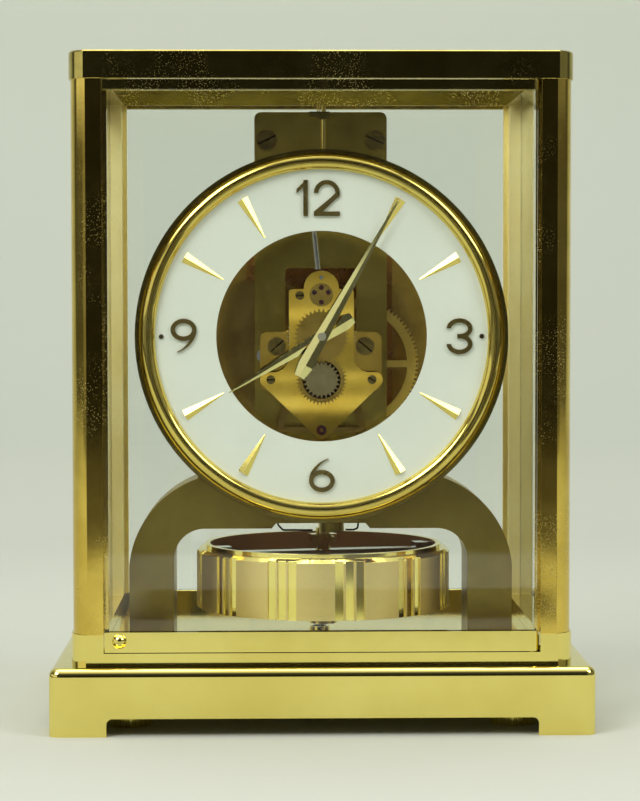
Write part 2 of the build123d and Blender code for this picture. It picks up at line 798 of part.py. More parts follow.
def front_glass():
    # The frameless pane of the door.
    x, y = door_axis()
    z0 = low_rail_top() - RAIL_GROOVE + FIT
    z1 = LID_Z - DOOR_GAP - RAIL_TOP_H + RAIL_GROOVE - FIT
    left = -POST_IN_X + DOOR_GAP
    return block(left, x + PANE_T / 2, y - PANE_T / 2, y + PANE_T / 2, z0, z1)


def knob_place():
    # The lock sits near the left end of the lower rail.
    return -POST_IN_X + KNOB_INSET, SILL_Z + DOOR_GAP + KNOB_RISE


def lock_knob():
    # A domed, slotted lock screw. Its blade turns over the top, behind the post's lip.
    x, z = knob_place()
    ball_r = (KNOB_R ** 2 + KNOB_DOME_H ** 2) / (2 * KNOB_DOME_H)
    dome = Pos(x, FRONT_Y - KNOB_DOME_H + ball_r, z) * Sphere(ball_r)
    crown_y = FRONT_Y - KNOB_DOME_H
    head = dome & rod_y(KNOB_R, crown_y - OVER, FRONT_Y - FIT, x, z)
    half = KNOB_R + OVER
    slot_half = KNOB_SLOT_W / 2
    slot_y = crown_y + KNOB_SLOT_DEEP
    head -= block(x - half, x + half, crown_y - OVER, slot_y, z - slot_half, z + slot_half)
    blade_y = GAP - post_lip_depth()
    stem = rod_y(KNOB_STEM_R, FRONT_Y - 2 * FIT, blade_y + LATCH_T, x, z)
    half_w = LATCH_W / 2
    blade = block(x, x + LATCH_L, blade_y, blade_y + LATCH_T, z - half_w, z + half_w)
    return head + stem + blade


def rear_panel_levels():
    # The rear panel fills the same seat as the door.
    return SILL_Z + FIT, SILL_Z + FIT + RAIL_LOW_H, LID_Z - FIT - RAIL_TOP_H, LID_Z - FIT


def rear_rail(z0, z1, groove_z0, groove_z1):
    # A fixed rail with a groove for the rear glass.
    x = POST_IN_X - FIT
    y = CASE_D / 2 - PANEL_T / 2
    half = PANE_T / 2 + FIT
    body = block(-x, x, y - PANEL_T / 2, y + PANEL_T / 2, z0, z1)
    return body - block(-x - OVER, x + OVER, y - half, y + half, groove_z0, groove_z1)


def rear_rails():
    # The two rails of the fixed rear panel.
    z0, z1, z2, z3 = rear_panel_levels()
    low = rear_rail(z0, z1, z1 - RAIL_GROOVE, z1 + OVER)
    top = rear_rail(z2, z3, z2 - OVER, z2 + RAIL_GROOVE)
    return solids_of([low, top])


def rear_glass():
    # The rear pane between its rails.
    z0, z1, z2, z3 = rear_panel_levels()
    x = POST_IN_X - FIT
    y = CASE_D / 2 - PANEL_T / 2
    low = z1 - RAIL_GROOVE + FIT
    return block(-x, x, y - PANE_T / 2, y + PANE_T / 2, low, z2 + RAIL_GROOVE - FIT)


def leg_outline():
    # The bell-shaped front view: straight legs, round haunches, sloping shoulders.
    waist = (LEG_OUT_X, CROWN_Z - WAIST_DROP)
    haunch = (LEG_OUT_X - HAUNCH_INSET, CROWN_Z - HAUNCH_DROP)
    shoulder = (SHOULDER_X, CROWN_Z - SHOULDER_DROP)
    crown = (CROWN_X, CROWN_Z)
    edges = [
        Line((0, FLOOR_Z), (LEG_OUT_X, FLOOR_Z)),
        Line((LEG_OUT_X, FLOOR_Z), waist),
        ThreePointArc(waist, haunch, shoulder),
        Line(shoulder, crown),
        Line(crown, (0, CROWN_Z)),
        Line((0, CROWN_Z), (0, FLOOR_Z)),
    ]
    half = make_face(Curve() + edges)
    return half + mirror(half, Plane.YZ)


def leg_frame():
    # The casting that carries the movement over the balance, with a boss under its arch.
    arch = slab(-LEG_IN_X, LEG_IN_X, FLOOR_Z - OVER, ARCH_Z)
    arch = fillet(arch.vertices().group_by(Axis.Y)[-1], ARCH_R)
    low_x = ARCH_STEP_X + ARCH_STEP_SLANT / 2
    top_x = ARCH_STEP_X - ARCH_STEP_SLANT / 2
    step = make_face(Polyline(
        (-low_x, ARCH_Z - FIT), (low_x, ARCH_Z - FIT),
        (top_x, ARCH_STEP_Z), (-top_x, ARCH_STEP_Z), close=True))
    body = plate(leg_outline() - arch - step, LEG_FRONT_Y, LEG_REAR_Y)
    boss_y = LEG_FRONT_Y + BOSS_SET_BACK
    body += rod_z(BOSS_R, ARCH_STEP_Z - BOSS_DROP, ARCH_STEP_Z + FIT, BOSS_X, boss_y)
    body -= rod_z(STAFF_NOTCH_R, ARCH_Z - OVER, CROWN_Z + OVER, BAL_X, BAL_Y)
    return body


def wire_levers():
    # Two thin bent wires that hang in the recess over the balance.
    y = LEG_FRONT_Y + LEVER_SET_BACK
    wires = []
    for path in LEVER_PATHS:
        points = [(x, y, ARCH_STEP_Z - drop) for x, drop in path]
        line = FilletPolyline(*points, radius=LEVER_BEND_R)
        start = Plane(origin=points[0], z_dir=line % 0)
        wires.append(sweep(start * Circle(LEVER_R), path=line))
    return solids_of(wires)


def dial_pillar_places():
    # Four pillars between the dial and the strap plate, on one ring.
    rise = sqrt(DIAL_PILLAR_RING_R ** 2 - DIAL_PILLAR_X ** 2)
    places = []
    for x in (-DIAL_PILLAR_X, DIAL_PILLAR_X):
        places.append((x, DIAL_Z + rise))
        places.append((x, DIAL_Z - rise))
    return places


def strap_plate():
    # The tall front plate, with its round-cornered window behind the bridge.
    sheet = round_slab(-STRAP_HALF_W, STRAP_HALF_W, STRAP_LOW_Z, STRAP_TOP_Z, STRAP_R)
    low = DIAL_Z - WINDOW_DROP
    top = DIAL_Z + WINDOW_RISE
    sheet -= round_slab(-WINDOW_HALF_W, WINDOW_HALF_W, low, top, WINDOW_R)
    sheet -= spot(*LOWER_AT) * Circle(ARBOR_R + GAP)
    sheet -= spot(*SPOKED_AT) * Circle(PIVOT_R + PIVOT_FIT)
    sheet -= spot(*BARREL_AT) * Circle(BARREL_ARBOR_R + PIVOT_FIT)
    return plate(sheet, STRAP_Y, STRAP_BACK_Y)


def round_inner_corners(sheet, x, z, radius):
    # Fill the left and the right inner corner of a plate with an arc.
    corners = [v for v in sheet.vertices() if abs(abs(v.X) - x) < FIT and abs(v.Y - z) < FIT]
    return fillet(corners, radius)


def ears_plate():
    # The carrier plate with two rounded ears, screwed to the strap.
    ear_top = DIAL_Z + EAR_RISE
    sheet = round_slab(-EAR_X, EAR_X, DIAL_Z - EAR_DROP, ear_top, EAR_R)
    sheet += slab(-TONGUE_X, TONGUE_X, DIAL_Z, DIAL_Z + TONGUE_RISE)
    sheet += spot(0, DIAL_Z + DOME_RISE) * Circle(TONGUE_DOME_R)
    sheet = round_inner_corners(sheet, TONGUE_X, ear_top, EAR_FILLET_R)
    for centre in (HANDS_AT, MOTION_AT, ESCAPE_AT, FORK_AT):
        sheet -= spot(*centre) * Circle(PIVOT_R + PIVOT_FIT)
    return plate(sheet, EARS_Y, STRAP_Y)


def front_bridge():
    # The lozenge bridge: domed top, square shoulders, two arms and a pointed foot.
    low = spot(*LOWER_AT) * Circle(BRIDGE_TIP_R)
    tip_x = BRIDGE_ARM_X - BRIDGE_ARM_R
    arms = [spot(side * tip_x, MOTION_Z) * Circle(BRIDGE_ARM_R) for side in (-1, 1)]
    sheet = make_hull((low + arms[0] + arms[1]).edges())
    body = slab(-BRIDGE_BODY_X, BRIDGE_BODY_X, MOTION_Z, DIAL_Z + SHOULDER_RISE)
    sheet += fillet(body.vertices().group_by(Axis.Y)[-1], WINDOW_R)
    sheet += spot(0, DIAL_Z + DOME_RISE) * Circle(DOME_R)
    sheet = round_inner_corners(sheet, BRIDGE_BODY_X, MOTION_Z + BRIDGE_ARM_R, BRIDGE_FILLET_R)
    sheet -= spot(*HANDS_AT) * Circle(MINUTE_PIPE_R + PIVOT_FIT)
    sheet -= spot(*MOTION_AT) * Circle(ARBOR_R + PIVOT_FIT)
    for centre in (LOWER_AT, ESCAPE_AT, FORK_AT):
        sheet -= spot(*centre) * Circle(PIVOT_R + PIVOT_FIT)
    return plate(sheet, BRIDGE_Y, BRIDGE_BACK_Y)


def back_plate():
    # The rear plate of the train.
    sheet = round_slab(-BACK_HALF_W, BACK_HALF_W, DIAL_Z - BACK_DROP, DIAL_Z + BACK_RISE, BACK_R)
    for centre in (LOWER_AT, SPOKED_AT):
        sheet -= spot(*centre) * Circle(PIVOT_R + PIVOT_FIT)
    sheet -= spot(*BARREL_AT) * Circle(BARREL_ARBOR_R + PIVOT_FIT)
    return plate(sheet, BACK_Y, BACK_END_Y)


def plate_pillars():
    # Four pillars between the strap and the back plate.
    pillars = []
    for x in (-PILLAR_X, PILLAR_X):
        for z in (DIAL_Z - PILLAR_DROP, DIAL_Z + PILLAR_RISE):
            pillars.append(rod_y(PILLAR_R, STRAP_BACK_Y, BACK_Y, x, z))
    return solids_of(pillars)


def bridge_pillar_places():
    # Pillars under the arms and under the shoulders of the bridge.
    top_z = DIAL_Z + TOP_PILLAR_RISE
    arms = [(-ARM_PILLAR_X, MOTION_Z), (ARM_PILLAR_X, MOTION_Z)]
    return arms + [(-TOP_PILLAR_X, top_z), (TOP_PILLAR_X, top_z)]


def bridge_pillars():
    # Short pillars that hold the bridge off the ears plate.
    places = bridge_pillar_places()
    return solids_of([rod_y(BRIDGE_PILLAR_R, BRIDGE_BACK_Y, EARS_Y, x, z) for x, z in places])


def slotted_head(radius, thick, y_face, x, z, slot_angle):
    # A flat screw head with a straight slot, in front of a face.
    head = rod_y(radius, y_face - thick, y_face, x, z)
    slot = Box(2 * radius + OVER, 2 * thick * SLOT_SHARE, SLOT_W)
    return head - Pos(x, y_face - thick, z) * Rot(0, slot_angle, 0) * slot


def movement_screws():
    # Slotted screws of the bridge, of the two ears and of the strap's upper corners.
    screws = []
    for (x, z), turn in zip(bridge_pillar_places(), BRIDGE_SLOT_TURNS):
        screws.append(slotted_head(SCREW_HEAD_R, SCREW_HEAD_T, BRIDGE_Y, x, z, turn))
    ear_z = DIAL_Z - EAR_SCREW_DROP
    top_z = STRAP_TOP_Z - STRAP_SCREW_DROP
    for side in (-1, 1):
        ear_x = side * EAR_SCREW_X
        top_x = side * STRAP_SCREW_X
        screws.append(slotted_head(EAR_SCREW_R, EAR_SCREW_T, EARS_Y, ear_x, ear_z, side * EAR_SLOT_TURN))
        turn = side * STRAP_SLOT_TURN
        screws.append(slotted_head(STRAP_SCREW_R, EAR_SCREW_T, STRAP_Y, top_x, top_z, turn))
    return solids_of(screws)


def jewel_setting():
    # The round setting of the escape wheel's jewels.
    x, z = ESCAPE_AT
    disc = rod_y(SETTING_R, BRIDGE_Y - SETTING_T, BRIDGE_Y, x, z)
    disc -= rod_y(PIVOT_R + PIVOT_FIT, BRIDGE_Y - SETTING_T - OVER, BRIDGE_Y + OVER, x, z)
    return disc


def ruby_jewels():
    # Four rubies round the setting, and a ring jewel at the bridge's foot.
    x, z = ESCAPE_AT
    face = BRIDGE_Y - SETTING_T
    stones = []
    for turn in RUBY_TURNS:
        sx = x + RUBY_RING_R * cos(radians(turn))
        sz = z + RUBY_RING_R * sin(radians(turn))
        stones.append(rod_y(RUBY_R, face - RUBY_T, face, sx, sz))
    ring = rod_y(TIP_RUBY_R, BRIDGE_Y - RUBY_T, BRIDGE_Y, *LOWER_AT)
    ring -= rod_y(PIVOT_R + PIVOT_FIT, BRIDGE_Y - OVER, BRIDGE_Y + OVER, *LOWER_AT)
    stones.append(ring)
    return solids_of(stones)


def spoked_disc(gear, y0, y1, rim, hub_r, spoke_w):
    # A toothed wheel with straight spokes between rim and hub.
    inner = gear.pitch_r - rim
    windows = Circle(inner) - Circle(hub_r)
    for spoke in range(SPOKES):
        arm = Pos(inner / 2, 0) * Rectangle(inner, spoke_w)
        windows -= Rot(0, 0, spoke * 360 / SPOKES) * arm
    return plate(spot(gear.x, gear.z) * (gear.outline() - windows), y0, y1)


def arbor(centre, y0, y1, front_pivot, rear_pivot):
    # A shaft with thin pivots at both ends.
    x, z = centre
    shaft = rod_y(ARBOR_R, y0, y1, x, z)
    shaft += rod_y(PIVOT_R, y0 - front_pivot, y0 + FIT, x, z)
    shaft += rod_y(PIVOT_R, y1 - FIT, y1 + rear_pivot, x, z)
    return shaft


def barrel():
    # The mainspring barrel with its great wheel and the raised ring round its hole.
    body = great_gear.solid(GREAT_Y, GREAT_Y + GREAT_WHEEL_T)
    body += rod_y(BARREL_R, GREAT_Y + FIT, DRUM_BARREL_Y + BARREL_DEEP, *BARREL_AT)
    body += rod_y(BARREL_BOSS_R, GREAT_Y - BARREL_BOSS_T, GREAT_Y + FIT, *BARREL_AT)
    body -= rod_y(BARREL_ARBOR_R + PIVOT_FIT, GREAT_Y - OVER, BACK_Y, *BARREL_AT)
    body -= rod_y(BARREL_BOSS_IN_R, GREAT_Y - OVER, GREAT_Y, *BARREL_AT)
    return body


def barrel_arbor():
    # The fixed winding arbor with its ratchet wheel behind the back plate.
    body = rod_y(BARREL_ARBOR_R, STRAP_Y, BACK_END_Y + RATCHET_T, *BARREL_AT)
    ratchet = Gear(*BARREL_AT, RATCHET_TEETH, RATCHET_R)
    return body + ratchet.solid(BACK_END_Y, BACK_END_Y + RATCHET_T)


def spoked_wheel():
    # The transmission wheel on the right, with the pinion that the barrel turns.
    body = spoked_disc(spoked_gear, SPOKED_Y, SPOKED_Y + WHEEL_T, SPOKED_RIM, SPOKED_HUB_R, SPOKE_W)
    body += barrel_pinion.solid(GREAT_Y - PINION_EXTRA, GREAT_Y + GREAT_WHEEL_T + PINION_EXTRA)
    body += arbor(SPOKED_AT, STRAP_BACK_Y + GAP, BACK_Y - GAP, STRAP_T, BACK_T)
    return body


def lower_wheel():
    # The ring-shaped wheel under the bridge's foot, with its pinion behind the strap.
    rear = CENTRE_WHEEL_Y + WHEEL_T
    body = spoked_disc(lower_gear, CENTRE_WHEEL_Y, rear, LOWER_RIM, LOWER_HUB_R, LOWER_SPOKE_W)
    body += lower_pinion.solid(SPOKED_Y - PINION_EXTRA, SPOKED_Y + WHEEL_T + PINION_EXTRA)
    body += arbor(LOWER_AT, BRIDGE_BACK_Y + GAP, BACK_Y - GAP, BRIDGE_T, BACK_T)
    return body


def motion_wheel():
    # The wheel behind the bridge that turns the centre pinion and the hour wheel.
    body = motion_gear.solid(MOTION_WHEEL_Y, MOTION_WHEEL_Y + WHEEL_T)
    body += motion_pinion.solid(CENTRE_WHEEL_Y - FIT, CENTRE_WHEEL_Y + WHEEL_T + PINION_EXTRA)
    body += rod_y(ARBOR_R, FRONT_WHEEL_Y, EARS_Y - GAP, *MOTION_AT)
    body += rod_y(PIVOT_R, EARS_Y - GAP - FIT, STRAP_Y, *MOTION_AT)
    body += front_gear.solid(FRONT_WHEEL_Y, FRONT_WHEEL_Y + WHEEL_T)
    under = Gear(*MOTION_AT, UNDER_TEETH, UNDER_WHEEL_R)
    body += under.solid(UNDER_Y, UNDER_Y + UNDER_T)
    body += rod_y(HUB_RING_R, FRONT_WHEEL_Y - WHEEL_T / 2, UNDER_Y + FIT, *MOTION_AT)
    return body


def hour_wheel():
    # The hour wheel with the stepped pipe that carries the hour hand.
    rear = FRONT_WHEEL_Y + WHEEL_T
    step = HOUR_Y + HAND_T
    body = hour_gear.solid(FRONT_WHEEL_Y, rear)
    body += rod_y(HOUR_PIPE_R, step, rear, *HANDS_AT)
    body += rod_y(HOUR_SEAT_R, HOUR_Y, step + FIT, *HANDS_AT)
    body -= rod_y(HOUR_PIPE_IN_R, HOUR_Y - OVER, rear + OVER, *HANDS_AT)
    return body


def centre_arbor():
    # The minute arbor: pipe for the hand, pinion behind the bridge and centre wheel.
    rear = CENTRE_WHEEL_Y + WHEEL_T
    body = rod_y(MINUTE_PIPE_R, MINUTE_Y, BRIDGE_BACK_Y, *HANDS_AT)
    body += rod_y(MINUTE_STUD_R, MINUTE_Y - MINUTE_STUD_H, MINUTE_Y + FIT, *HANDS_AT)
    body += rod_y(ARBOR_R, BRIDGE_BACK_Y - FIT, EARS_Y - GAP, *HANDS_AT)
    body += rod_y(PIVOT_R, EARS_Y - GAP - FIT, STRAP_Y, *HANDS_AT)
    body += centre_pinion.solid(MOTION_WHEEL_Y - FIT, MOTION_WHEEL_Y + WHEEL_T + FIT)
    body += spoked_disc(centre_gear, CENTRE_WHEEL_Y, rear, LOWER_RIM, LOWER_HUB_R, LOWER_SPOKE_W)
    return body


def escape_wheel():
    # The fifteen-tooth escape wheel with its pinion.
    x, z = ESCAPE_AT
    step = 360 / ESCAPE_TEETH
    points = []
    for tooth in range(ESCAPE_TEETH):
        tip = tooth * step
        root_r = ESCAPE_R - ESCAPE_TOOTH
        points.append((root_r, tip - step * ESCAPE_LEAN_SHARE))
        points.append((ESCAPE_R, tip))
        points.append((root_r, tip + step * TIP_SHARE))
    corners = [(r * cos(radians(a)), r * sin(radians(a))) for r, a in points]
    sheet = make_face(Polyline(*corners, close=True))
    body = plate(spot(x, z) * sheet, ESCAPE_WHEEL_Y, ESCAPE_WHEEL_Y + WHEEL_T / 2)
    body += escape_pinion.solid(CENTRE_WHEEL_Y - FIT, CENTRE_WHEEL_Y + WHEEL_T + FIT)
    body += arbor(ESCAPE_AT, BRIDGE_BACK_Y + GAP, EARS_Y - GAP, BRIDGE_T + SETTING_T, EARS_T)
    return body


def pallet_fork():
    # The anchor behind the escape wheel: a pivoted boss, two arms and two stones.
    x, z = FORK_AT
    wheel_back = ESCAPE_WHEEL_Y + WHEEL_T / 2
    front = wheel_back + GAP
    rear = front + FORK_ARM_T
    body = rod_y(FORK_BOSS_R, front, rear, x, z)
    ring = ESCAPE_R + FORK_ROOM + FORK_STONE / 2
    for side in (-1, 1):
        lean = radians(side * FORK_SPREAD / 2)
        sx = ring * sin(lean)
        sz = ESCAPE_Z + ring * cos(lean)
        reach = hypot(sx - x, sz - z)
        turn = degrees(atan2(sz - z, sx - x))
        arm = Rot(0, 0, turn) * Pos(reach / 2, 0) * Rectangle(reach + FORK_STONE, FORK_ARM_W)
        body += plate(spot(x, z) * arm, front, rear)
        stone = spot(sx, sz) * Rot(0, 0, -degrees(lean)) * Rectangle(FORK_STONE, FORK_STONE)
        body += plate(stone, ESCAPE_WHEEL_Y, front + FIT)
    body += rod_y(PIVOT_R - FIT, BRIDGE_Y, STRAP_Y, x, z)
    return body


def bezel():
    # The dial's frame: thin outer lip, groove, broad round band and inner edge.
    front = DIAL_Y - BEZEL_PROUD
    back = front + BEZEL_DEEP
    lip_in = BEZEL_R - BEZEL_LIP
    groove_in = lip_in - BEZEL_LIP / 2
    groove = front + BEZEL_PROUD / 2
    lip = front + BEZEL_LIP / 2
    band = (groove_in + BEZEL_IN_R) / 2
    band_end = DIAL_Y - BEZEL_LIP / 2
    seat_r = DIAL_PILLAR_RING_R - DIAL_PILLAR_R
    rear = DIAL_Y + DIAL_T
    curve = ThreePointArc((BEZEL_IN_R, band_end), (band, front), (groove_in, groove))
    corners = [
        (groove_in, groove), (lip_in, lip), (BEZEL_R, lip), (BEZEL_R, back), (seat_r, back),
        (seat_r, rear), (lip_in, rear), (lip_in, DIAL_Y), (BEZEL_IN_R, DIAL_Y), (BEZEL_IN_R, band_end),
    ]
    section = make_face(Curve() + [curve, Polyline(*corners)])
    return Pos(0, 0, DIAL_Z) * revolve(section, Axis.Y, 360)


def dial_ring():
    # The white dial, open in the middle.
    sheet = Circle(BEZEL_R - BEZEL_LIP - FIT) - Circle(DIAL_HOLE_R)
    return plate(spot(*HANDS_AT) * sheet, DIAL_Y, DIAL_Y + DIAL_T)


def figure_one():
    # The figure one: a bar with a short flag.
    half = NUMERAL_H / 2
    step = NUMERAL_STROKE
    flag = make_face(Polyline(
        (0, half), (-2 * step, half - 2 * step), (-2 * step, half - 3 * step),
        (0, half - step), close=True))
    return Rectangle(step, NUMERAL_H) + flag


def figure_two():
    # The figure two: a round head, a slanted neck and a flat foot.
    half = NUMERAL_H / 2
    step = NUMERAL_STROKE
    radius = NUMERAL_W / 2
    centre_z = half - radius
    head = Pos(0, centre_z) * (Circle(radius) - Circle(radius - step))
    head -= slab(-NUMERAL_W, 0, centre_z - NUMERAL_W, centre_z)
    head -= slab(-NUMERAL_W, NUMERAL_W, -NUMERAL_H, centre_z - step)
    foot = slab(-radius, radius, -half, -half + step)
    lower = centre_z - step
    neck = make_face(Polyline(
        (radius, centre_z), (radius - step / 2, lower), (-radius + 2 * step, -half + step),
        (-radius, -half + step), (radius - 2 * step, lower), (radius - step, centre_z), close=True))
    return head + foot + neck


def figure_three():
    # The figure three: two open bowls that meet in a waist.
    step = NUMERAL_STROKE
    radius = (NUMERAL_H + step) / 4
    wide = NUMERAL_W / 2
    half = NUMERAL_H / 2
    bowls = Ellipse(wide, radius) - Ellipse(wide - step, radius - step)
    figure = Pos(0, half - radius) * bowls + Pos(0, radius - half) * bowls
    figure -= slab(-NUMERAL_W, -step / 2, radius - half, half - radius)
    return figure


def figure_six():
    # The figure six: a closed bowl with a curved stem.
    step = NUMERAL_STROKE
    half = NUMERAL_H / 2
    wide = NUMERAL_W / 2
    tall = SIX_BOWL_SHARE * NUMERAL_H / 2
    bowl = Pos(0, tall - half) * (Ellipse(wide, tall) - Ellipse(wide - step, tall - step))
    reach = NUMERAL_W + wide / 2
    rise = NUMERAL_H - tall
    sweep_ring = Ellipse(reach, rise) - Ellipse(reach - step, rise)
    stem = Pos(reach - wide, tall - half) * sweep_ring
    keep = slab(-wide, wide / 2, tall - half, half)
    return bowl + (stem & keep)


def numerals():
    # The plain figures 12, 3, 6 and 9, standing on the dial.
    twelve_z = DIAL_Z + NUMERAL_RING_R
    one_x = -(NUMERAL_W + NUMERAL_GAP) / 2
    two_x = (NUMERAL_STROKE + NUMERAL_GAP) / 2
    pieces = [
        spot(one_x, twelve_z) * figure_one(),
        spot(two_x, twelve_z) * figure_two(),
        spot(NUMERAL_RING_R, DIAL_Z) * figure_three(),
        spot(0, DIAL_Z - NUMERAL_RING_R) * figure_six(),
        spot(-NUMERAL_RING_R, DIAL_Z) * Rot(0, 0, 180) * figure_six(),
    ]
    return solids_of([plate(piece, DIAL_Y - NUMERAL_T, DIAL_Y) for piece in pieces])


def wedge_solid(length, wide, narrow, thick, ridge):
    # A tapered bar along +Z from zero, flat behind, ridged in front towards -Y.
    low = [(-wide / 2, 0), (wide / 2, 0), (0, -ridge)]
    top = [(-narrow / 2, 0), (narrow / 2, 0), (0, -ridge * narrow / wide)]
    sections = []
    for height, corners in ((0, low), (length, top)):
        flat = [(x, y) for x, y in corners]
        sections.append(Plane.XY.offset(height) * make_face(Polyline(*flat, close=True)))
    return loft(Sketch() + sections, ruled=True)


def hour_markers():
    # Eight ridged wedges that point to the middle of the dial.
    marks = []
    for hour in range(HOURS):
        if hour % (HOURS // QUARTERS) == 0:
            continue
        wedge = wedge_solid(MARKER_OUT_R - MARKER_IN_R, MARKER_W, MARKER_TIP_W, MARKER_T, MARKER_T)
        wedge = Pos(0, 0, MARKER_OUT_R) * Rot(0, 180, 0) * wedge
        marks.append(Pos(0, DIAL_Y, DIAL_Z) * Rot(0, hour * 360 / HOURS, 0) * wedge)
    return solids_of(marks)


def dial_screws():
    # Two small dark screws at the ends of the dial's level line.
    screws = []
    for side in (-1, 1):
        x = side * DIAL_SCREW_RING_R
        screws.append(rod_y(DIAL_SCREW_R, DIAL_Y - DIAL_SCREW_HEAD, DIAL_Y, x, DIAL_Z))
    return solids_of(screws)


def dial_pillars():
    # The four pillars that hold the bezel off the strap plate.
    back = DIAL_Y - BEZEL_PROUD + BEZEL_DEEP
    return solids_of([rod_y(DIAL_PILLAR_R, back, STRAP_Y, x, z) for x, z in dial_pillar_places()])


def hand(length, belly, tail, face_y, bore_r, turn):
    # A long kite with a ridge: widest behind the centre, with a blunt chevron tail.
    front = wedge_solid(length + belly, HAND_W, HAND_TIP_W, HAND_T, HAND_T)
    front = Pos(0, 0, -belly) * front
    rear = Rot(0, 180, 0) * wedge_solid(tail - belly, HAND_W, HAND_TAIL_W, HAND_T, HAND_T)
    body = front + Pos(0, 0, -belly) * rear
    body = Pos(0, face_y + HAND_T, DIAL_Z) * Rot(0, turn, 0) * body
    return body - rod_y(bore_r, face_y - OVER, face_y + HAND_T + OVER, *HANDS_AT)


def balance_rim():
    # The heavy ring: grained panels between flutes, a chamfer, a step and a thin web.
    wall = rod_z(BAL_R, BAL_LOW_Z, BAL_HIGH_Z, BAL_X, BAL_Y)
    wall = chamfer(wall.edges().group_by(Axis.Z)[-1], BAL_CHAMFER)
    floor_r = BAL_R - FLUTE_DEEP
    half_w = FLUTE_W / 2
    groove = block(floor_r, BAL_R + OVER, -half_w, half_w, BAL_LOW_Z - OVER, BAL_HIGH_Z + OVER)
    cuts = []
    for group in range(FLUTE_GROUPS):
        for flute in range(FLUTES_EACH):
            offset = (flute - (FLUTES_EACH - 1) / 2) * FLUTE_PITCH
            turn = FLUTE_TURN + group * 360 / FLUTE_GROUPS + offset - 90
            cuts.append(Pos(BAL_X, BAL_Y, 0) * Rot(0, 0, turn) * groove)
    body = wall - cuts + rod_z(BAL_STEP_R, BAL_HIGH_Z - FIT, BAL_STEP_Z, BAL_X, BAL_Y)
    web_low = BAL_WEB_Z - BAL_WEB_T
    body -= rod_z(BAL_BORE_R, BAL_WEB_Z, BAL_STEP_Z + OVER, BAL_X, BAL_Y)
    body -= rod_z(BAL_BORE_R, BAL_LOW_Z - OVER, web_low, BAL_X, BAL_Y)
    for hole in range(BAL_WEB_HOLES):
        angle = radians((hole + 1 / 2) * 360 / BAL_WEB_HOLES)
        x = BAL_X + BAL_WEB_RING_R * cos(angle)
        y = BAL_Y + BAL_WEB_RING_R * sin(angle)
        body -= rod_z(BAL_WEB_HOLE_R, web_low - OVER, BAL_WEB_Z + OVER, x, y)
    body -= rod_z(LOW_STEM_R + FIT, web_low - OVER, BAL_WEB_Z + OVER, BAL_X, BAL_Y)
    return body


def balance_arm():
    # The steel cross-arm between two blocks that stand on the web.
    reach = BAL_BORE_R - GAP
    half_l = sqrt(reach ** 2 - (ARM_BLOCK_W / 2) ** 2)
    block_top = BAL_STEP_Z - ARM_BLOCK_DROP
    body = block(-half_l + OVER, half_l - OVER, -ARM_W / 2, ARM_W / 2, ARM_LOW_Z, ARM_LOW_Z + ARM_T)
    for side in (-1, 1):
        near, far = sorted((side * (half_l - ARM_BLOCK_L), side * half_l))
        body += block(near, far, -ARM_BLOCK_W / 2, ARM_BLOCK_W / 2, BAL_WEB_Z, block_top)
    body -= rod_z(LOW_STEM_R + FIT, ARM_LOW_Z - OVER, block_top)
    return Pos(BAL_X, BAL_Y, 0) * Rot(0, 0, ARM_TURN) * body


def balance_hub():
    # The hub with its clamp for the wire, and the low stem, disc and guide pin.
    body = rod_z(HUB_R, ARM_LOW_Z + ARM_T, HUB_TOP_Z)
    body += rod_z(HUB_NECK_R, HUB_TOP_Z - FIT, HUB_NECK_Z)
    body += rod_z(LOW_STEM_R, LOW_DISC_Z, ARM_LOW_Z + ARM_T + FIT)
    body += rod_z(LOW_DISC_R, LOW_DISC_Z, LOW_DISC_Z + LOW_DISC_T)
    body += rod_z(LOW_PIN_R, LOW_PIN_Z, LOW_DISC_Z + FIT)
    clamp_z = BAL_STEP_Z + CLAMP_DROP
    front = -CLAMP_W / 2
    body += block(-CLAMP_L / 2, CLAMP_L / 2, front, -front, clamp_z, clamp_z + CLAMP_H)
    screw_z = clamp_z + CLAMP_H / 2
    screw = rod_y(CLAMP_SCREW_R, front - CLAMP_SCREW_L, front + FIT, CLAMP_L / 4, screw_z)
    return Pos(BAL_X, BAL_Y, 0) * Rot(0, 0, ARM_TURN) * (body + screw)


def torsion_wire():
    # The hanging wire from the collet down to the hub.
    return rod_z(WIRE_R, HUB_NECK_Z, HANGER_Z - GAP, BAL_X, BAL_Y)


def wire_tube():
    # The tube that guards the wire behind the movement.
    low = DIAL_Z - TUBE_DROP
    tube = rod_z(TUBE_R, low, HANGER_Z, BAL_X, BAL_Y)
    return tube - rod_z(TUBE_IN_R, low - OVER, HANGER_Z + OVER, BAL_X, BAL_Y)


def suspension_bracket():
    # The arm on the strap's back that holds the wire and its tube.
    rear = BAL_Y + COLLET_R
    top = HANGER_Z + HANGER_T
    body = block(-HANGER_HALF_W, HANGER_HALF_W, STRAP_BACK_Y, rear, HANGER_Z, top)
    return body + rod_z(COLLET_R, top - FIT, top + COLLET_RISE, BAL_X, BAL_Y)


def regulator_rod():
    # The slotted knob at the top of the strap, on an upright spindle.
    low = STRAP_TOP_Z - REG_ROD_L
    body = rod_z(REG_ROD_R, low, STRAP_TOP_Z, REG_X, REG_Y)
    top = STRAP_TOP_Z + REG_KNOB_H
    body += rod_z(REG_KNOB_R, STRAP_TOP_Z - FIT, top, REG_X, REG_Y)
    reach = REG_KNOB_R + OVER
    half = SLOT_W / 2
    body -= block(REG_X - reach, REG_X + reach, REG_Y - half, REG_Y + half, top - SLOT_W, top + OVER)
    return body


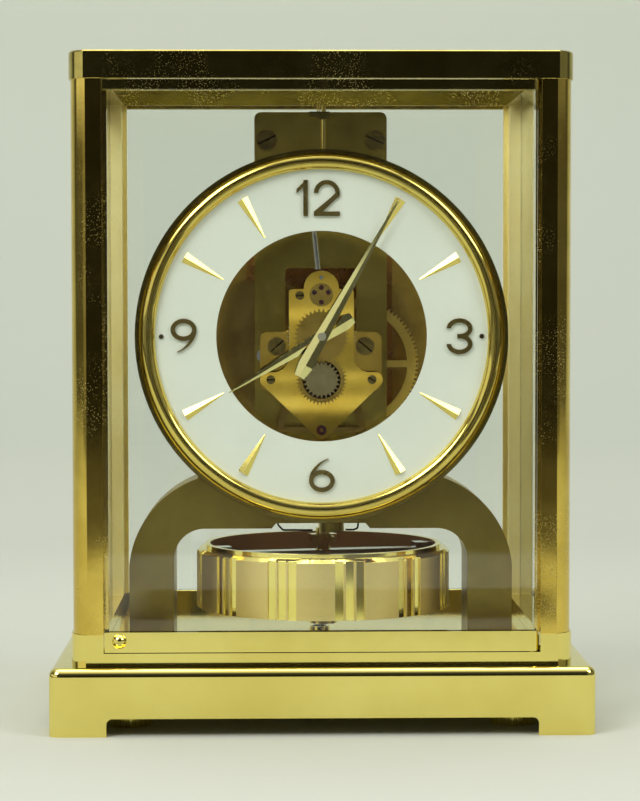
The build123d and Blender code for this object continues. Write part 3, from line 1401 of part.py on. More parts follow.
def regulator_guide():
    # The block the spindle turns in, its tab and pins, and the fixed leaning rod.
    z0 = STRAP_TOP_Z - REG_BLOCK_H
    front = REG_Y - REG_ROD_R - REG_ROD_GAP
    half = REG_BLOCK_W / 2
    body = block(REG_X - half, REG_X + half, front, STRAP_Y, z0, STRAP_TOP_Z - FIT)
    tab_low = STRAP_TOP_Z - REG_TAB_H
    tab_x = REG_TAB_X - REG_TAB_W / 2
    body += block(tab_x, REG_X, front, STRAP_Y, tab_low, STRAP_TOP_Z - FIT)
    for x in REG_PINS_X:
        body += rod_z(REG_PIN_R, tab_low, tab_low + REG_PIN_H, x, front + REG_PIN_R)
    body -= rod_z(REG_ROD_R + FIT, z0 - OVER, STRAP_TOP_Z + OVER, REG_X, REG_Y)
    low = Vector(STEM_LOW_X, REG_Y, DIAL_Z + STEM_LOW_RISE)
    top = Vector(STEM_TOP_X, REG_Y, DIAL_Z + STEM_TOP_RISE)
    along = top - low
    middle = Plane(origin=(low + top) * (1 / 2), z_dir=along)
    rod = middle * Cone(STEM_LOW_R, STEM_TOP_R, along.length)
    foot_x = STEM_FOOT_W / 2
    foot_z = top.Z - STEM_FOOT_W
    foot = block(top.X - foot_x, top.X + foot_x, REG_Y, STRAP_Y, foot_z, top.Z - FIT)
    return solids_of([body, rod + foot])


def guide_socket():
    # The cup in the floor that guides the balance's pin and lifts to lock it.
    top = FLOOR_Z + SOCKET_RISE
    body = rod_z(SOCKET_R, BLOCK_Z, top, 0, BAL_Y)
    return body - rod_z(SOCKET_IN_R, FLOOR_Z - SOCKET_RISE, top + OVER, 0, BAL_Y)


def bellows_drum():
    # The open drum that holds the bellows, on four spacers off the back plate.
    body = rod_y(DRUM_R, DRUM_FRONT_Y, DRUM_BACK_Y, 0, DIAL_Z)
    body -= rod_y(DRUM_R - DRUM_WALL, DRUM_FRONT_Y + DRUM_WALL, DRUM_BACK_Y + OVER, 0, DIAL_Z)
    for turn in SPACER_TURNS:
        x = SPACER_RING_R * cos(radians(turn))
        z = DIAL_Z + SPACER_RING_R * sin(radians(turn))
        body += rod_y(SPACER_R, BACK_END_Y, DRUM_FRONT_Y + FIT, x, z)
    return body


def bellows_cover():
    # The rear lid of the drum.
    body = rod_y(DRUM_R + DRUM_LIP, DRUM_BACK_Y, DRUM_BACK_Y + DRUM_LIP_T, 0, DIAL_Z)
    inner = rod_y(DRUM_R - DRUM_WALL - FIT, DRUM_BACK_Y - DRUM_WALL, DRUM_BACK_Y + FIT, 0, DIAL_Z)
    return body + inner


def bellows():
    # The sealed ribbed capsule, fixed to the cover.
    back = DRUM_BACK_Y - DRUM_WALL
    pitch = BELLOWS_L / BELLOWS_RIBS
    points = [(0, back), (BELLOWS_IN_R, back)]
    for rib in range(BELLOWS_RIBS):
        start = back - rib * pitch
        points.append((BELLOWS_R, start - pitch / 2))
        points.append((BELLOWS_IN_R, start - pitch))
    points.append((0, back - BELLOWS_L))
    section = make_face(Polyline(*points, close=True))
    return Pos(0, 0, DIAL_Z) * revolve(section, Axis.Y, 360)


def pressure_plate():
    # The moving plate that the bellows pushes.
    back = DRUM_BACK_Y - DRUM_WALL - BELLOWS_L
    return rod_y(BELLOWS_IN_R - PLATE_DISC_EDGE, back - PLATE_DISC_T, back, 0, DIAL_Z)


def main():
    # Write every sub-part.
    os.makedirs("parts", exist_ok=True)
    save(base_plinth(), "base_plinth", BRASS)
    save(levelling_foot(-1), "levelling_foot_left", BRASS)
    save(levelling_foot(1), "levelling_foot_right", BRASS)
    save(bottom_frame(), "bottom_frame", BRASS)
    save(floor_plate(), "floor_plate", BRASS)
    for end, end_name in ((-1, "front"), (1, "rear")):
        for side, side_name in ((-1, "left"), (1, "right")):
            save(corner_post(side, end), "post_" + end_name + "_" + side_name, BRASS)
    save(lid_frame(), "lid_frame", BRASS)
    save(top_glass(), "top_glass", GLASS)
    save(side_glass(-1), "side_glass_left", GLASS)
    save(side_glass(1), "side_glass_right", GLASS)
    save(rear_rails(), "rear_rails", BRASS)
    save(rear_glass(), "rear_glass", GLASS)
    save(front_top_rail(), "front_top_rail", BRASS)
    save(front_bottom_rail(), "front_bottom_rail", BRASS)
    save(front_glass(), "front_glass", GLASS)
    save(lock_knob(), "lock_knob", BRASS)
    save(leg_frame(), "leg_frame", BRASS)
    save(wire_levers(), "wire_levers", STEEL)
    save(strap_plate(), "strap_plate", BRASS)
    save(ears_plate(), "ears_plate", BRASS)
    save(front_bridge(), "front_bridge", BRASS)
    save(back_plate(), "back_plate", BRASS)
    save(plate_pillars(), "plate_pillars", BRASS)
    save(bridge_pillars(), "bridge_pillars", BRASS)
    save(movement_screws(), "movement_screws", STEEL)
    save(jewel_setting(), "jewel_setting", BRASS)
    save(ruby_jewels(), "ruby_jewels", RUBY)
    save(barrel(), "barrel", BRASS)
    save(barrel_arbor(), "barrel_arbor", STEEL)
    save(spoked_wheel(), "spoked_wheel", BRASS)
    save(lower_wheel(), "lower_wheel", BRASS)
    save(motion_wheel(), "motion_wheel", BRASS)
    save(hour_wheel(), "hour_wheel", BRASS)
    save(centre_arbor(), "centre_arbor", BRASS)
    save(escape_wheel(), "escape_wheel", BRASS)
    save(pallet_fork(), "pallet_fork", STEEL)
    save(bezel(), "bezel", BRASS)
    save(dial_ring(), "dial_ring", WHITE)
    save(numerals(), "numerals", DARK)
    save(hour_markers(), "hour_markers", BRASS)
    save(dial_screws(), "dial_screws", DARK)
    save(dial_pillars(), "dial_pillars", BRASS)
    hour = hand(HOUR_L, HOUR_BELLY, HOUR_TAIL, HOUR_Y, HOUR_SEAT_R, HOUR_ANGLE)
    save(hour, "hour_hand", BRASS)
    minute = hand(MINUTE_L, MINUTE_BELLY, MINUTE_TAIL, MINUTE_Y, MINUTE_PIPE_R, MINUTE_ANGLE)
    save(minute, "minute_hand", BRASS)
    save(balance_rim(), "balance_rim", BRASS)
    save(balance_arm(), "balance_arm", STEEL)
    save(balance_hub(), "balance_hub", BRASS)
    save(torsion_wire(), "torsion_wire", STEEL)
    save(wire_tube(), "wire_tube", STEEL)
    save(suspension_bracket(), "suspension_bracket", BRASS)
    save(regulator_rod(), "regulator_rod", STEEL)
    save(regulator_guide(), "regulator_guide", BRASS)
    save(guide_socket(), "guide_socket", BRASS)
    save(bellows_drum(), "bellows_drum", BRASS)
    save(bellows_cover(), "bellows_cover", BRASS)
    save(bellows(), "bellows", BRASS)
    save(pressure_plate(), "pressure_plate", BRASS)


main()
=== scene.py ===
import json
import logging
from dataclasses import dataclass, field
from enum import Enum
from math import cos, pi, radians, sin
from typing import Sequence

import bmesh
import bpy
import numpy as np
from mathutils import Matrix, Vector


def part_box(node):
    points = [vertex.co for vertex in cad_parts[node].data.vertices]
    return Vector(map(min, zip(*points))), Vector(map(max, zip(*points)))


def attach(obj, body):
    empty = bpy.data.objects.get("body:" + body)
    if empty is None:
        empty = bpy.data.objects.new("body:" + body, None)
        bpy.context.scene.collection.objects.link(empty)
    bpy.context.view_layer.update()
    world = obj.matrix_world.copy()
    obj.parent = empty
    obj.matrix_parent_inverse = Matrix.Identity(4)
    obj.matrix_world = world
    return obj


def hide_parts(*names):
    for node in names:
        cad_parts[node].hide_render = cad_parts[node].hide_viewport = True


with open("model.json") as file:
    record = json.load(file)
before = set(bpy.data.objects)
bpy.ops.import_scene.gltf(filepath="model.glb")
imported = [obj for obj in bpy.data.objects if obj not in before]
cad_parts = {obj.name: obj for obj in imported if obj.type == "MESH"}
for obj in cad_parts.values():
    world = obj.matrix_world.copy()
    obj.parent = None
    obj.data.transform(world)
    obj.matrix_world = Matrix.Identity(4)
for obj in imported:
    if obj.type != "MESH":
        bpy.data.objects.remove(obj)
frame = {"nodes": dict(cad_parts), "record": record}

logging.basicConfig(level=logging.INFO, format="%(message)s")
LOG = logging.getLogger("clock")

MM = 0.001
MATERIALS: dict[object, bpy.types.Material] = {}
Colour = tuple[float, float, float]

# Noise and spot scales, in cells per metre
WEAR_SCALE = 170.0
WEAR_DETAIL = 6.0
GRAIN_SCALE = 5200.0
WAVE_SCALE = 240.0
WAVE_STRENGTH = 0.35
FINE_PIT_SCALE = 1600.0
COARSE_PIT_SCALE = 780.0
CLOUD_SCALE = 45.0
NOISE_ROUGHNESS = 0.55

# Tolerances of the eased copies
MERGE_DISTANCE = 1e-6
FLAT_ANGLE = radians(1.0)
SHARP_ANGLE = radians(25.0)
BEVEL_ANGLE = radians(50.0)


class Grain(Enum):
    """Which way a finish's fine scratches run."""

    NONE = (1.0, 1.0, 1.0)
    UPRIGHT = (1.0, 1.0, 0.05)
    SLANTED = (0.3, 1.0, 0.12)


class Shader:
    """A node material under construction, with a Principled shader at its end."""

    def __init__(self, name: str) -> None:
        """Start an empty material.

        Args:
            name: the material's name.
        """
        self.material = bpy.data.materials.new(name)
        self.material.use_nodes = True
        self.tree = self.material.node_tree
        self.tree.nodes.clear()
        self.output = self.tree.nodes.new("ShaderNodeOutputMaterial")
        self.body = self.tree.nodes.new("ShaderNodeBsdfPrincipled")
        self.tree.links.new(self.body.outputs[0], self.output.inputs[0])
        self.place = self.tree.nodes.new("ShaderNodeTexCoord")

    def link(self, start: bpy.types.NodeSocket, end: bpy.types.NodeSocket) -> None:
        """Join two sockets."""
        self.tree.links.new(start, end)

    def set(self, **values: object) -> "Shader":
        """Set constants on the Principled shader's own sockets.

        Args:
            values: socket names, with spaces written as underscores, and values.

        Returns:
            This shader.
        """
        for name, value in values.items():
            self.body.inputs[name.replace("_", " ")].default_value = value
        return self

    def stretched(self, stretch: Sequence[float]) -> bpy.types.NodeSocket:
        """Object coordinates, stretched along the axes.

        Args:
            stretch: a factor for each axis.

        Returns:
            The vector socket.
        """
        mapping = self.tree.nodes.new("ShaderNodeMapping")
        mapping.inputs["Scale"].default_value = tuple(stretch)
        self.link(self.place.outputs["Object"], mapping.inputs["Vector"])
        return mapping.outputs[0]

    def noise(self, scale: float, detail: float = 4.0,
              stretch: Sequence[float] = (1, 1, 1)) -> bpy.types.NodeSocket:
        """Fractal noise in object space.

        Args:
            scale: cells per metre.
            detail: octaves.
            stretch: a factor for each axis.

        Returns:
            The value socket.
        """
        node = self.tree.nodes.new("ShaderNodeTexNoise")
        node.inputs["Scale"].default_value = scale
        node.inputs["Detail"].default_value = detail
        node.inputs["Roughness"].default_value = NOISE_ROUGHNESS
        self.link(self.stretched(stretch), node.inputs["Vector"])
        return node.outputs["Fac"]

    def specks(self, scale: float, size: float) -> bpy.types.NodeSocket:
        """Small round spots scattered in object space: one inside, zero outside.

        Args:
            scale: cells per metre.
            size: the spots' radius as a share of a cell.

        Returns:
            The mask socket.
        """
        node = self.tree.nodes.new("ShaderNodeTexVoronoi")
        node.inputs["Scale"].default_value = scale
        self.link(self.stretched((1, 1, 1)), node.inputs["Vector"])
        return self.ramp(node.outputs["Distance"], [(size * 0.6, (1, 1, 1)), (size, (0, 0, 0))])

    def ramp(self, value: bpy.types.NodeSocket, stops: Sequence[tuple[float, Colour]]) -> bpy.types.NodeSocket:
        """A colour ramp.

        Args:
            value: the input.
            stops: places and colours in rising order.

        Returns:
            The colour socket.
        """
        node = self.tree.nodes.new("ShaderNodeValToRGB")
        elements = node.color_ramp.elements
        while len(elements) < len(stops):
            elements.new(0.5)
        for element, (position, colour) in zip(elements, stops):
            element.position = position
            element.color = (*colour, 1.0)
        self.link(value, node.inputs[0])
        return node.outputs[0]

    def mix(self, share: bpy.types.NodeSocket | float, first: object, second: object) -> bpy.types.NodeSocket:
        """Blend two colours.

        Args:
            share: how much of the second colour.
            first: a colour or a socket.
            second: a colour or a socket.

        Returns:
            The colour socket.
        """
        node = self.tree.nodes.new("ShaderNodeMix")
        node.data_type = "RGBA"
        for slot, value in ((0, share), (6, first), (7, second)):
            if isinstance(value, bpy.types.NodeSocket):
                self.link(value, node.inputs[slot])
            elif slot == 0:
                node.inputs[slot].default_value = float(value)
            else:
                node.inputs[slot].default_value = (*value, 1.0)
        return node.outputs[2]

    def math(self, kind: str, *values: object) -> bpy.types.NodeSocket:
        """One step of arithmetic.

        Args:
            kind: the operation's name.
            values: numbers or sockets.

        Returns:
            The value socket.
        """
        return arithmetic(self.tree, kind, *values)

    def scaled(self, value: bpy.types.NodeSocket, low: float, high: float) -> bpy.types.NodeSocket:
        """Map zero to one onto low to high.

        Args:
            value: the input.
            low: what zero becomes.
            high: what one becomes.

        Returns:
            The value socket.
        """
        node = self.tree.nodes.new("ShaderNodeMapRange")
        node.inputs["To Min"].default_value = low
        node.inputs["To Max"].default_value = high
        self.link(value, node.inputs["Value"])
        return node.outputs[0]

    def axis(self, name: str) -> bpy.types.NodeSocket:
        """One object coordinate, X, Y or Z."""
        node = self.tree.nodes.new("ShaderNodeSeparateXYZ")
        self.link(self.place.outputs["Object"], node.inputs[0])
        return node.outputs[name]

    def bump(self, height: bpy.types.NodeSocket, distance: float, strength: float = 1.0) -> None:
        """Raise the surface by a height map.

        Args:
            height: the map.
            distance: metres for a height of one.
            strength: zero to one.
        """
        node = self.tree.nodes.new("ShaderNodeBump")
        node.inputs["Distance"].default_value = distance
        node.inputs["Strength"].default_value = strength
        self.link(height, node.inputs["Height"])
        last = self.body.inputs["Normal"].links
        if last:
            self.link(last[0].from_socket, node.inputs["Normal"])
        self.link(node.outputs[0], self.body.inputs["Normal"])

    def round_edges(self, radius: float) -> None:
        """Shade the sharp edges as if they had a small radius.

        Args:
            radius: metres.
        """
        node = self.tree.nodes.new("ShaderNodeBevel")
        node.samples = 6
        node.inputs["Radius"].default_value = radius
        self.link(node.outputs[0], self.body.inputs["Normal"])

    def openness(self, reach: float) -> bpy.types.NodeSocket:
        """How open a point is: one in the open, near zero deep in a corner.

        Args:
            reach: metres within which other metal counts.

        Returns:
            The value socket.
        """
        node = self.tree.nodes.new("ShaderNodeAmbientOcclusion")
        node.samples = 8
        node.inputs["Distance"].default_value = reach
        return node.outputs["AO"]

    def radius(self, centre: Sequence[float], plane: str = "XY") -> bpy.types.NodeSocket:
        """Distance from an axis square to a plane: the root of the two steps' squares added.

        Args:
            centre: the axis's place in the plane, in metres.
            plane: the plane's two axes.

        Returns:
            The value socket.
        """
        squares = []
        for name, middle in zip(plane, centre):
            step = self.math("SUBTRACT", self.axis(name), middle)
            squares.append(self.math("MULTIPLY", step, step))
        return self.math("SQRT", self.math("ADD", *squares))

    def between(self, value: bpy.types.NodeSocket, low: float, high: float, soft: float) -> bpy.types.NodeSocket:
        """A mask that is one from low to high and fades to zero outside.

        Args:
            value: the input.
            low: where the mask starts.
            high: where it ends.
            soft: half the width of each fade.

        Returns:
            The mask socket.
        """
        return between(self.tree, value, low, high, soft)

    def colour(self, value: bpy.types.NodeSocket) -> None:
        """Use a colour socket as the base colour."""
        self.link(value, self.body.inputs["Base Color"])

    def roughness(self, value: bpy.types.NodeSocket) -> None:
        """Use a value socket as the roughness."""
        self.link(value, self.body.inputs["Roughness"])


def between(tree: bpy.types.NodeTree, value: bpy.types.NodeSocket, low: float, high: float,
            soft: float) -> bpy.types.NodeSocket:
    """A mask that is one from low to high and fades to zero outside.

    Args:
        tree: the node tree to build in.
        value: the input.
        low: where the mask starts.
        high: where it ends.
        soft: half the width of each fade.

    Returns:
        The mask socket.
    """
    edges = []
    for place, rising in ((low, True), (high, False)):
        node = tree.nodes.new("ShaderNodeMapRange")
        node.interpolation_type = "SMOOTHSTEP"
        node.inputs["From Min"].default_value = place - soft
        node.inputs["From Max"].default_value = place + soft
        node.inputs["To Min"].default_value = 0.0 if rising else 1.0
        node.inputs["To Max"].default_value = 1.0 if rising else 0.0
        tree.links.new(value, node.inputs["Value"])
        edges.append(node.outputs[0])
    return arithmetic(tree, "MULTIPLY", *edges)


def arithmetic(tree: bpy.types.NodeTree, kind: str, *values: object) -> bpy.types.NodeSocket:
    """One step of arithmetic.

    Args:
        tree: the node tree to build in.
        kind: the operation's name.
        values: numbers or sockets.

    Returns:
        The value socket.
    """
    node = tree.nodes.new("ShaderNodeMath")
    node.operation = kind
    for slot, value in enumerate(values):
        if isinstance(value, bpy.types.NodeSocket):
            tree.links.new(value, node.inputs[slot])
        else:
            node.inputs[slot].default_value = float(value)
    return node.outputs[0]


def grey_levels(tree: bpy.types.NodeTree, value: bpy.types.NodeSocket, stops: Sequence[tuple[float, float]],
                steps: bool) -> bpy.types.NodeSocket:
    """A grey ramp over the stops' own range.

    Args:
        tree: the node tree to build in.
        value: the input.
        stops: places and levels in rising order.
        steps: whether each level holds until the next place.

    Returns:
        The level socket.
    """
    low, high = stops[0][0], stops[-1][0]
    share = arithmetic(tree, "DIVIDE", arithmetic(tree, "SUBTRACT", value, low), high - low)
    node = tree.nodes.new("ShaderNodeValToRGB")
    node.color_ramp.interpolation = "CONSTANT" if steps else "LINEAR"
    elements = node.color_ramp.elements
    while len(elements) < len(stops):
        elements.new(0.5)
    for element, (position, level) in zip(elements, stops):
        element.position = (position - low) / (high - low)
        element.color = (level, level, level, 1.0)
    tree.links.new(share, node.inputs[0])
    return node.outputs[0]


@dataclass(frozen=True)
class BrassFinish:
    """Lacquered or gilt brass: two tones, fine scratches, pits, worn edges and painted shade in the corners."""

    name: str
    light: Colour
    dark: Colour
    shine: float
    shine_spread: float
    grain: Grain = Grain.NONE
    grain_depth: float = 0.0
    patch_scale: float = 28.0
    pits: float = 0.0
    pit_colour: Colour = (0.78, 0.62, 0.22)
    pit_shine: float = 0.42
    edge: float = 0.0
    corner_shade_reach: float = 0.0
    corner_shade_colour: Colour = (0.04, 0.02, 0.01)
    corner_shade_power: float = 3.0
    waves: float = 0.00002

    def tone(self, shader: Shader) -> bpy.types.NodeSocket:
        """The colour, before pits: cloudy patches, with painted shade where metal stands close.

        Args:
            shader: the material under construction.

        Returns:
            The colour socket.
        """
        patches = shader.noise(self.patch_scale, 5.0)
        tone = shader.ramp(patches, [(0.35, self.dark), (0.65, self.light)])
        # Painted shade: the ambient occlusion mask darkens the colour in slots and corners.
        if self.corner_shade_reach > 0:
            light = shader.math("POWER", shader.openness(self.corner_shade_reach), self.corner_shade_power)
            tone = shader.mix(light, self.corner_shade_colour, tone)
        return tone

    def build(self) -> bpy.types.Material:
        """Make the material.

        Returns:
            The finished material.
        """
        shader = Shader(self.name)
        shader.set(Metallic=1.0)
        if self.edge > 0:
            shader.round_edges(self.edge)
        tone = self.tone(shader)
        wear = shader.scaled(shader.noise(WEAR_SCALE, WEAR_DETAIL, self.grain.value),
                             self.shine, self.shine + self.shine_spread)
        if self.pits > 0:
            fine = shader.specks(FINE_PIT_SCALE, self.pits)
            coarse = shader.specks(COARSE_PIT_SCALE, self.pits * 0.7)
            cloud = shader.ramp(shader.noise(CLOUD_SCALE), [(0.34, (0.05, 0.05, 0.05)), (0.62, (0.9, 0.9, 0.9))])
            mask = shader.math("MULTIPLY", shader.math("MAXIMUM", fine, coarse), cloud)
            tone = shader.mix(mask, tone, self.pit_colour)
            rise = shader.math("MULTIPLY", mask, self.pit_shine)
            wear = shader.math("MAXIMUM", wear, rise)
        shader.colour(tone)
        shader.roughness(wear)
        if self.grain_depth > 0:
            shader.bump(shader.noise(GRAIN_SCALE, 2.0, self.grain.value), self.grain_depth)
        if self.waves > 0:
            shader.bump(shader.noise(WAVE_SCALE, 2.0), self.waves, WAVE_STRENGTH)
        return shader.material


@dataclass(frozen=True)
class SplitFinish:
    """Two metal tones on one piece, parted by a plane square to an axis.

    The shade disc is a place in x and z and a reach: within it the second tone is painted dark, a painted shade.
    """

    name: str
    axis: str
    at: float
    below: BrassFinish
    above: BrassFinish
    shade_disc: tuple[float, float, float] = (0.0, 0.0, 0.0)
    shade_disc_colour: Colour = (0.09, 0.05, 0.02)

    def build(self) -> bpy.types.Material:
        """Make the material.

        Returns:
            The finished material.
        """
        shader = Shader(self.name)
        shader.set(Metallic=1.0)
        side = shader.math("LESS_THAN", self.at, shader.axis(self.axis))
        above = self.above.tone(shader)
        x, z, reach = self.shade_disc
        # Painted shade: within the reach of the axle the second tone is painted near-black.
        if reach > 0:
            near = shader.math("LESS_THAN", shader.radius((x, z), "XZ"), reach)
            above = shader.mix(near, above, self.shade_disc_colour)
        shader.colour(shader.mix(side, self.below.tone(shader), above))
        wear = shader.noise(WEAR_SCALE, WEAR_DETAIL)
        low = shader.scaled(wear, self.below.shine, self.below.shine + self.below.shine_spread)
        high = shader.scaled(wear, self.above.shine, self.above.shine + self.above.shine_spread)
        rise = shader.math("MULTIPLY", side, shader.math("SUBTRACT", high, low))
        shader.roughness(shader.math("ADD", low, rise))
        return shader.material


@dataclass(frozen=True)
class RimFinish:
    """The balance rim: fine matt panels, polished flutes and brown colour inside the well radius."""

    name: str
    centre: tuple[float, float]
    flute_radius: float
    wall_low: float
    wall_high: float
    well_radius: float = 0.0395
    well: Colour = (0.36, 0.20, 0.08)
    panel_light: Colour = (0.78, 0.64, 0.26)
    panel_dark: Colour = (0.72, 0.57, 0.21)
    flute: Colour = (1.0, 0.84, 0.24)
    panel_shine: float = 0.46
    flute_shine: float = 0.07
    grain_depth: float = 0.00003

    def build(self) -> bpy.types.Material:
        """Make the material. The mask is one on the wall outside the flutes' radius.

        Returns:
            The finished material.
        """
        shader = Shader(self.name)
        shader.set(Metallic=1.0)
        shader.round_edges(0.00015)
        outside = shader.math("GREATER_THAN", shader.radius(self.centre), self.flute_radius)
        height = shader.axis("Z")
        on_wall = shader.between(height, self.wall_low, self.wall_high, 0.00002)
        panel = shader.math("MULTIPLY", outside, on_wall)
        grit = shader.noise(3600.0, 3.0)
        matt = shader.ramp(grit, [(0.35, self.panel_dark), (0.65, self.panel_light)])
        within = shader.math("LESS_THAN", shader.radius(self.centre), self.well_radius)
        bright = shader.mix(within, self.flute, self.well)
        shader.colour(shader.mix(panel, bright, matt))
        rise = shader.math("MULTIPLY", shader.math("MAXIMUM", panel, within), self.panel_shine - self.flute_shine)
        shader.roughness(shader.math("ADD", rise, self.flute_shine))
        shader.bump(shader.math("MULTIPLY", grit, panel), self.grain_depth)
        return shader.material


@dataclass(frozen=True)
class PaintFinish:
    """Even paint or enamel with a faint cloudiness."""

    name: str
    light: Colour
    dark: Colour
    shine: float
    metallic: float = 0.0
    edge: float = 0.00008

    def build(self) -> bpy.types.Material:
        """Make the material.

        Returns:
            The finished material.
        """
        shader = Shader(self.name)
        shader.set(Metallic=self.metallic)
        shader.round_edges(self.edge)
        cloud = shader.noise(CLOUD_SCALE, 6.0)
        shader.colour(shader.ramp(cloud, [(0.3, self.dark), (0.7, self.light)]))
        shader.roughness(shader.scaled(shader.noise(120.0), self.shine, self.shine + 0.12))
        shader.bump(shader.noise(1800.0, 3.0), 0.00001, 0.4)
        return shader.material


@dataclass(frozen=True)
class PaneFinish:
    """Plate glass that lets the light through, with faint dust."""

    name: str
    tint: Colour
    dust: float

    def build(self) -> bpy.types.Material:
        """Make the material.

        Returns:
            The finished material.
        """
        shader = Shader(self.name)
        shader.set(Base_Color=(*self.tint, 1.0), Transmission_Weight=1.0, IOR=1.45)
        shader.roughness(shader.scaled(shader.noise(90.0), 0.0, 0.004))
        clear = shader.tree.nodes.new("ShaderNodeBsdfTransparent")
        clear.inputs[0].default_value = (*self.tint, 1.0)
        haze = shader.tree.nodes.new("ShaderNodeBsdfDiffuse")
        haze.inputs[0].default_value = (0.8, 0.82, 0.78, 1.0)
        path = shader.tree.nodes.new("ShaderNodeLightPath")
        soft = shader.math("MAXIMUM", path.outputs["Is Shadow Ray"], path.outputs["Is Diffuse Ray"])
        dusty = shader.tree.nodes.new("ShaderNodeMixShader")
        specks = shader.specks(700.0, 0.1)
        shader.link(shader.math("MULTIPLY", specks, self.dust), dusty.inputs[0])
        shader.link(shader.body.outputs[0], dusty.inputs[1])
        shader.link(haze.outputs[0], dusty.inputs[2])
        last = shader.tree.nodes.new("ShaderNodeMixShader")
        shader.link(soft, last.inputs[0])
        shader.link(dusty.outputs[0], last.inputs[1])
        shader.link(clear.outputs[0], last.inputs[2])
        shader.link(last.outputs[0], shader.output.inputs[0])
        return shader.material


@dataclass(frozen=True)
class RubyFinish:
    """Deep red polished stone."""

    name: str = "ruby_red"

    def build(self) -> bpy.types.Material:
        """Make the material.

        Returns:
            The finished material.
        """
        shader = Shader(self.name)
        shader.set(IOR=1.6, Coat_Weight=0.15, Coat_Roughness=0.1)
        shader.colour(shader.ramp(shader.noise(900.0), [(0.3, (0.012, 0.001, 0.001)), (0.7, (0.05, 0.003, 0.003))]))
        shader.roughness(shader.scaled(shader.noise(500.0), 0.05, 0.15))
        return shader.material


Finish = BrassFinish | SplitFinish | RimFinish | PaintFinish | PaneFinish | RubyFinish

CASE_BRASS = BrassFinish("case_brass", (0.88, 0.76, 0.23), (0.80, 0.67, 0.18), 0.06, 0.07, pits=0.10)
POST_BRASS = BrassFinish("post_brass", (0.84, 0.63, 0.13), (0.64, 0.46, 0.08), 0.05, 0.09,
                         patch_scale=60.0, pits=0.30, edge=0.00015)
# Painted shade: a darker copy of the case brass for the lid and the top rails.
LID_SHADED_BRASS = BrassFinish("lid_brass", (0.62, 0.52, 0.14), (0.44, 0.36, 0.09), 0.06, 0.12,
                        patch_scale=60.0, pits=0.34, edge=0.00015)
BEZEL_BRASS = BrassFinish("bezel_brass", (0.82, 0.66, 0.17), (0.76, 0.58, 0.13), 0.05, 0.06)
# Painted highlight: a paler copy of the post brass for the rear posts.
REAR_POST_LIT_BRASS = BrassFinish("rear_post_lit_brass", (1.0, 0.90, 0.44), (0.94, 0.80, 0.34), 0.34, 0.12,
                              Grain.UPRIGHT, 0.00001, 50.0, pits=0.10)
LEG_BRASS = BrassFinish("leg_brass", (0.33, 0.255, 0.06), (0.25, 0.185, 0.04), 0.28, 0.14,
                        Grain.UPRIGHT, 0.00002, 50.0, edge=0.0002)
STRAP_BRASS = BrassFinish("strap_brass", (0.62, 0.49, 0.12), (0.44, 0.33, 0.07), 0.18, 0.12,
                          Grain.SLANTED, 0.000006, 60.0)
TRAIN_BRASS = BrassFinish("train_brass", (0.52, 0.36, 0.10), (0.34, 0.22, 0.06), 0.16, 0.12,
                          Grain.UPRIGHT, 0.000004, 70.0)
BACK_BRASS = BrassFinish("back_brass", (0.44, 0.22, 0.07), (0.30, 0.14, 0.04), 0.22, 0.12, patch_scale=60.0)
ARBOR_PALE = BrassFinish("arbor_pale", (0.95, 0.92, 0.74), (0.86, 0.82, 0.62), 0.25, 0.10)
SPOKED_GOLD = BrassFinish("spoked_gold", (0.95, 0.72, 0.20), (0.82, 0.58, 0.13), 0.24, 0.10, patch_scale=60.0)
BRIDGE_GOLD = BrassFinish("bridge_gold", (0.96, 0.70, 0.12), (0.86, 0.58, 0.08), 0.02, 0.03,
                          patch_scale=60.0, waves=0.0)
EARS_GOLD = BrassFinish("ears_gold", (0.66, 0.46, 0.09), (0.50, 0.33, 0.06), 0.05, 0.08,
                        patch_scale=70.0, waves=0.0)
WHEEL_PALE = BrassFinish("wheel_pale", (0.66, 0.57, 0.30), (0.54, 0.45, 0.22), 0.10, 0.10, patch_scale=160.0)
WHEEL_GOLD = BrassFinish("wheel_gold", (0.78, 0.56, 0.14), (0.62, 0.42, 0.09), 0.10, 0.10, patch_scale=120.0)
BALANCE_GOLD = BrassFinish("balance_gold", (0.88, 0.74, 0.34), (0.80, 0.65, 0.26), 0.10, 0.08)
MARKER_GOLD = BrassFinish("marker_gold", (0.88, 0.72, 0.22), (0.80, 0.64, 0.18), 0.07, 0.05)
HAND_GOLD = BrassFinish("hand_gold", (0.84, 0.78, 0.36), (0.78, 0.70, 0.30), 0.03, 0.03, waves=0.0)
BELLOWS_BRASS = BrassFinish("bellows_brass", (0.60, 0.48, 0.20), (0.50, 0.39, 0.15), 0.28, 0.12)
STEEL = BrassFinish("polished_steel", (0.70, 0.71, 0.70), (0.58, 0.59, 0.58), 0.10, 0.10)
BLUED_STEEL = BrassFinish("dark_steel", (0.10, 0.09, 0.08), (0.06, 0.05, 0.05), 0.16, 0.10)
# The screws get painted shade in their slots and corners.
SCREW_BRASS = BrassFinish("screw_brass", (0.52, 0.40, 0.13), (0.34, 0.25, 0.08), 0.14, 0.10, patch_scale=300.0,
                          corner_shade_reach=0.0011)
DARK_SCREW = BrassFinish("dial_screw_dark", (0.20, 0.16, 0.09), (0.12, 0.09, 0.05), 0.22, 0.12)
DIAL_WHITE = PaintFinish("dial_white", (0.78, 0.80, 0.72), (0.73, 0.75, 0.67), 0.38)
BRONZE = PaintFinish("numeral_bronze", (0.27, 0.21, 0.07), (0.18, 0.13, 0.04), 0.22, 0.8)
PANE = PaneFinish("clear_pane", (0.97, 0.99, 0.97), 0.25)
RUBY = RubyFinish()


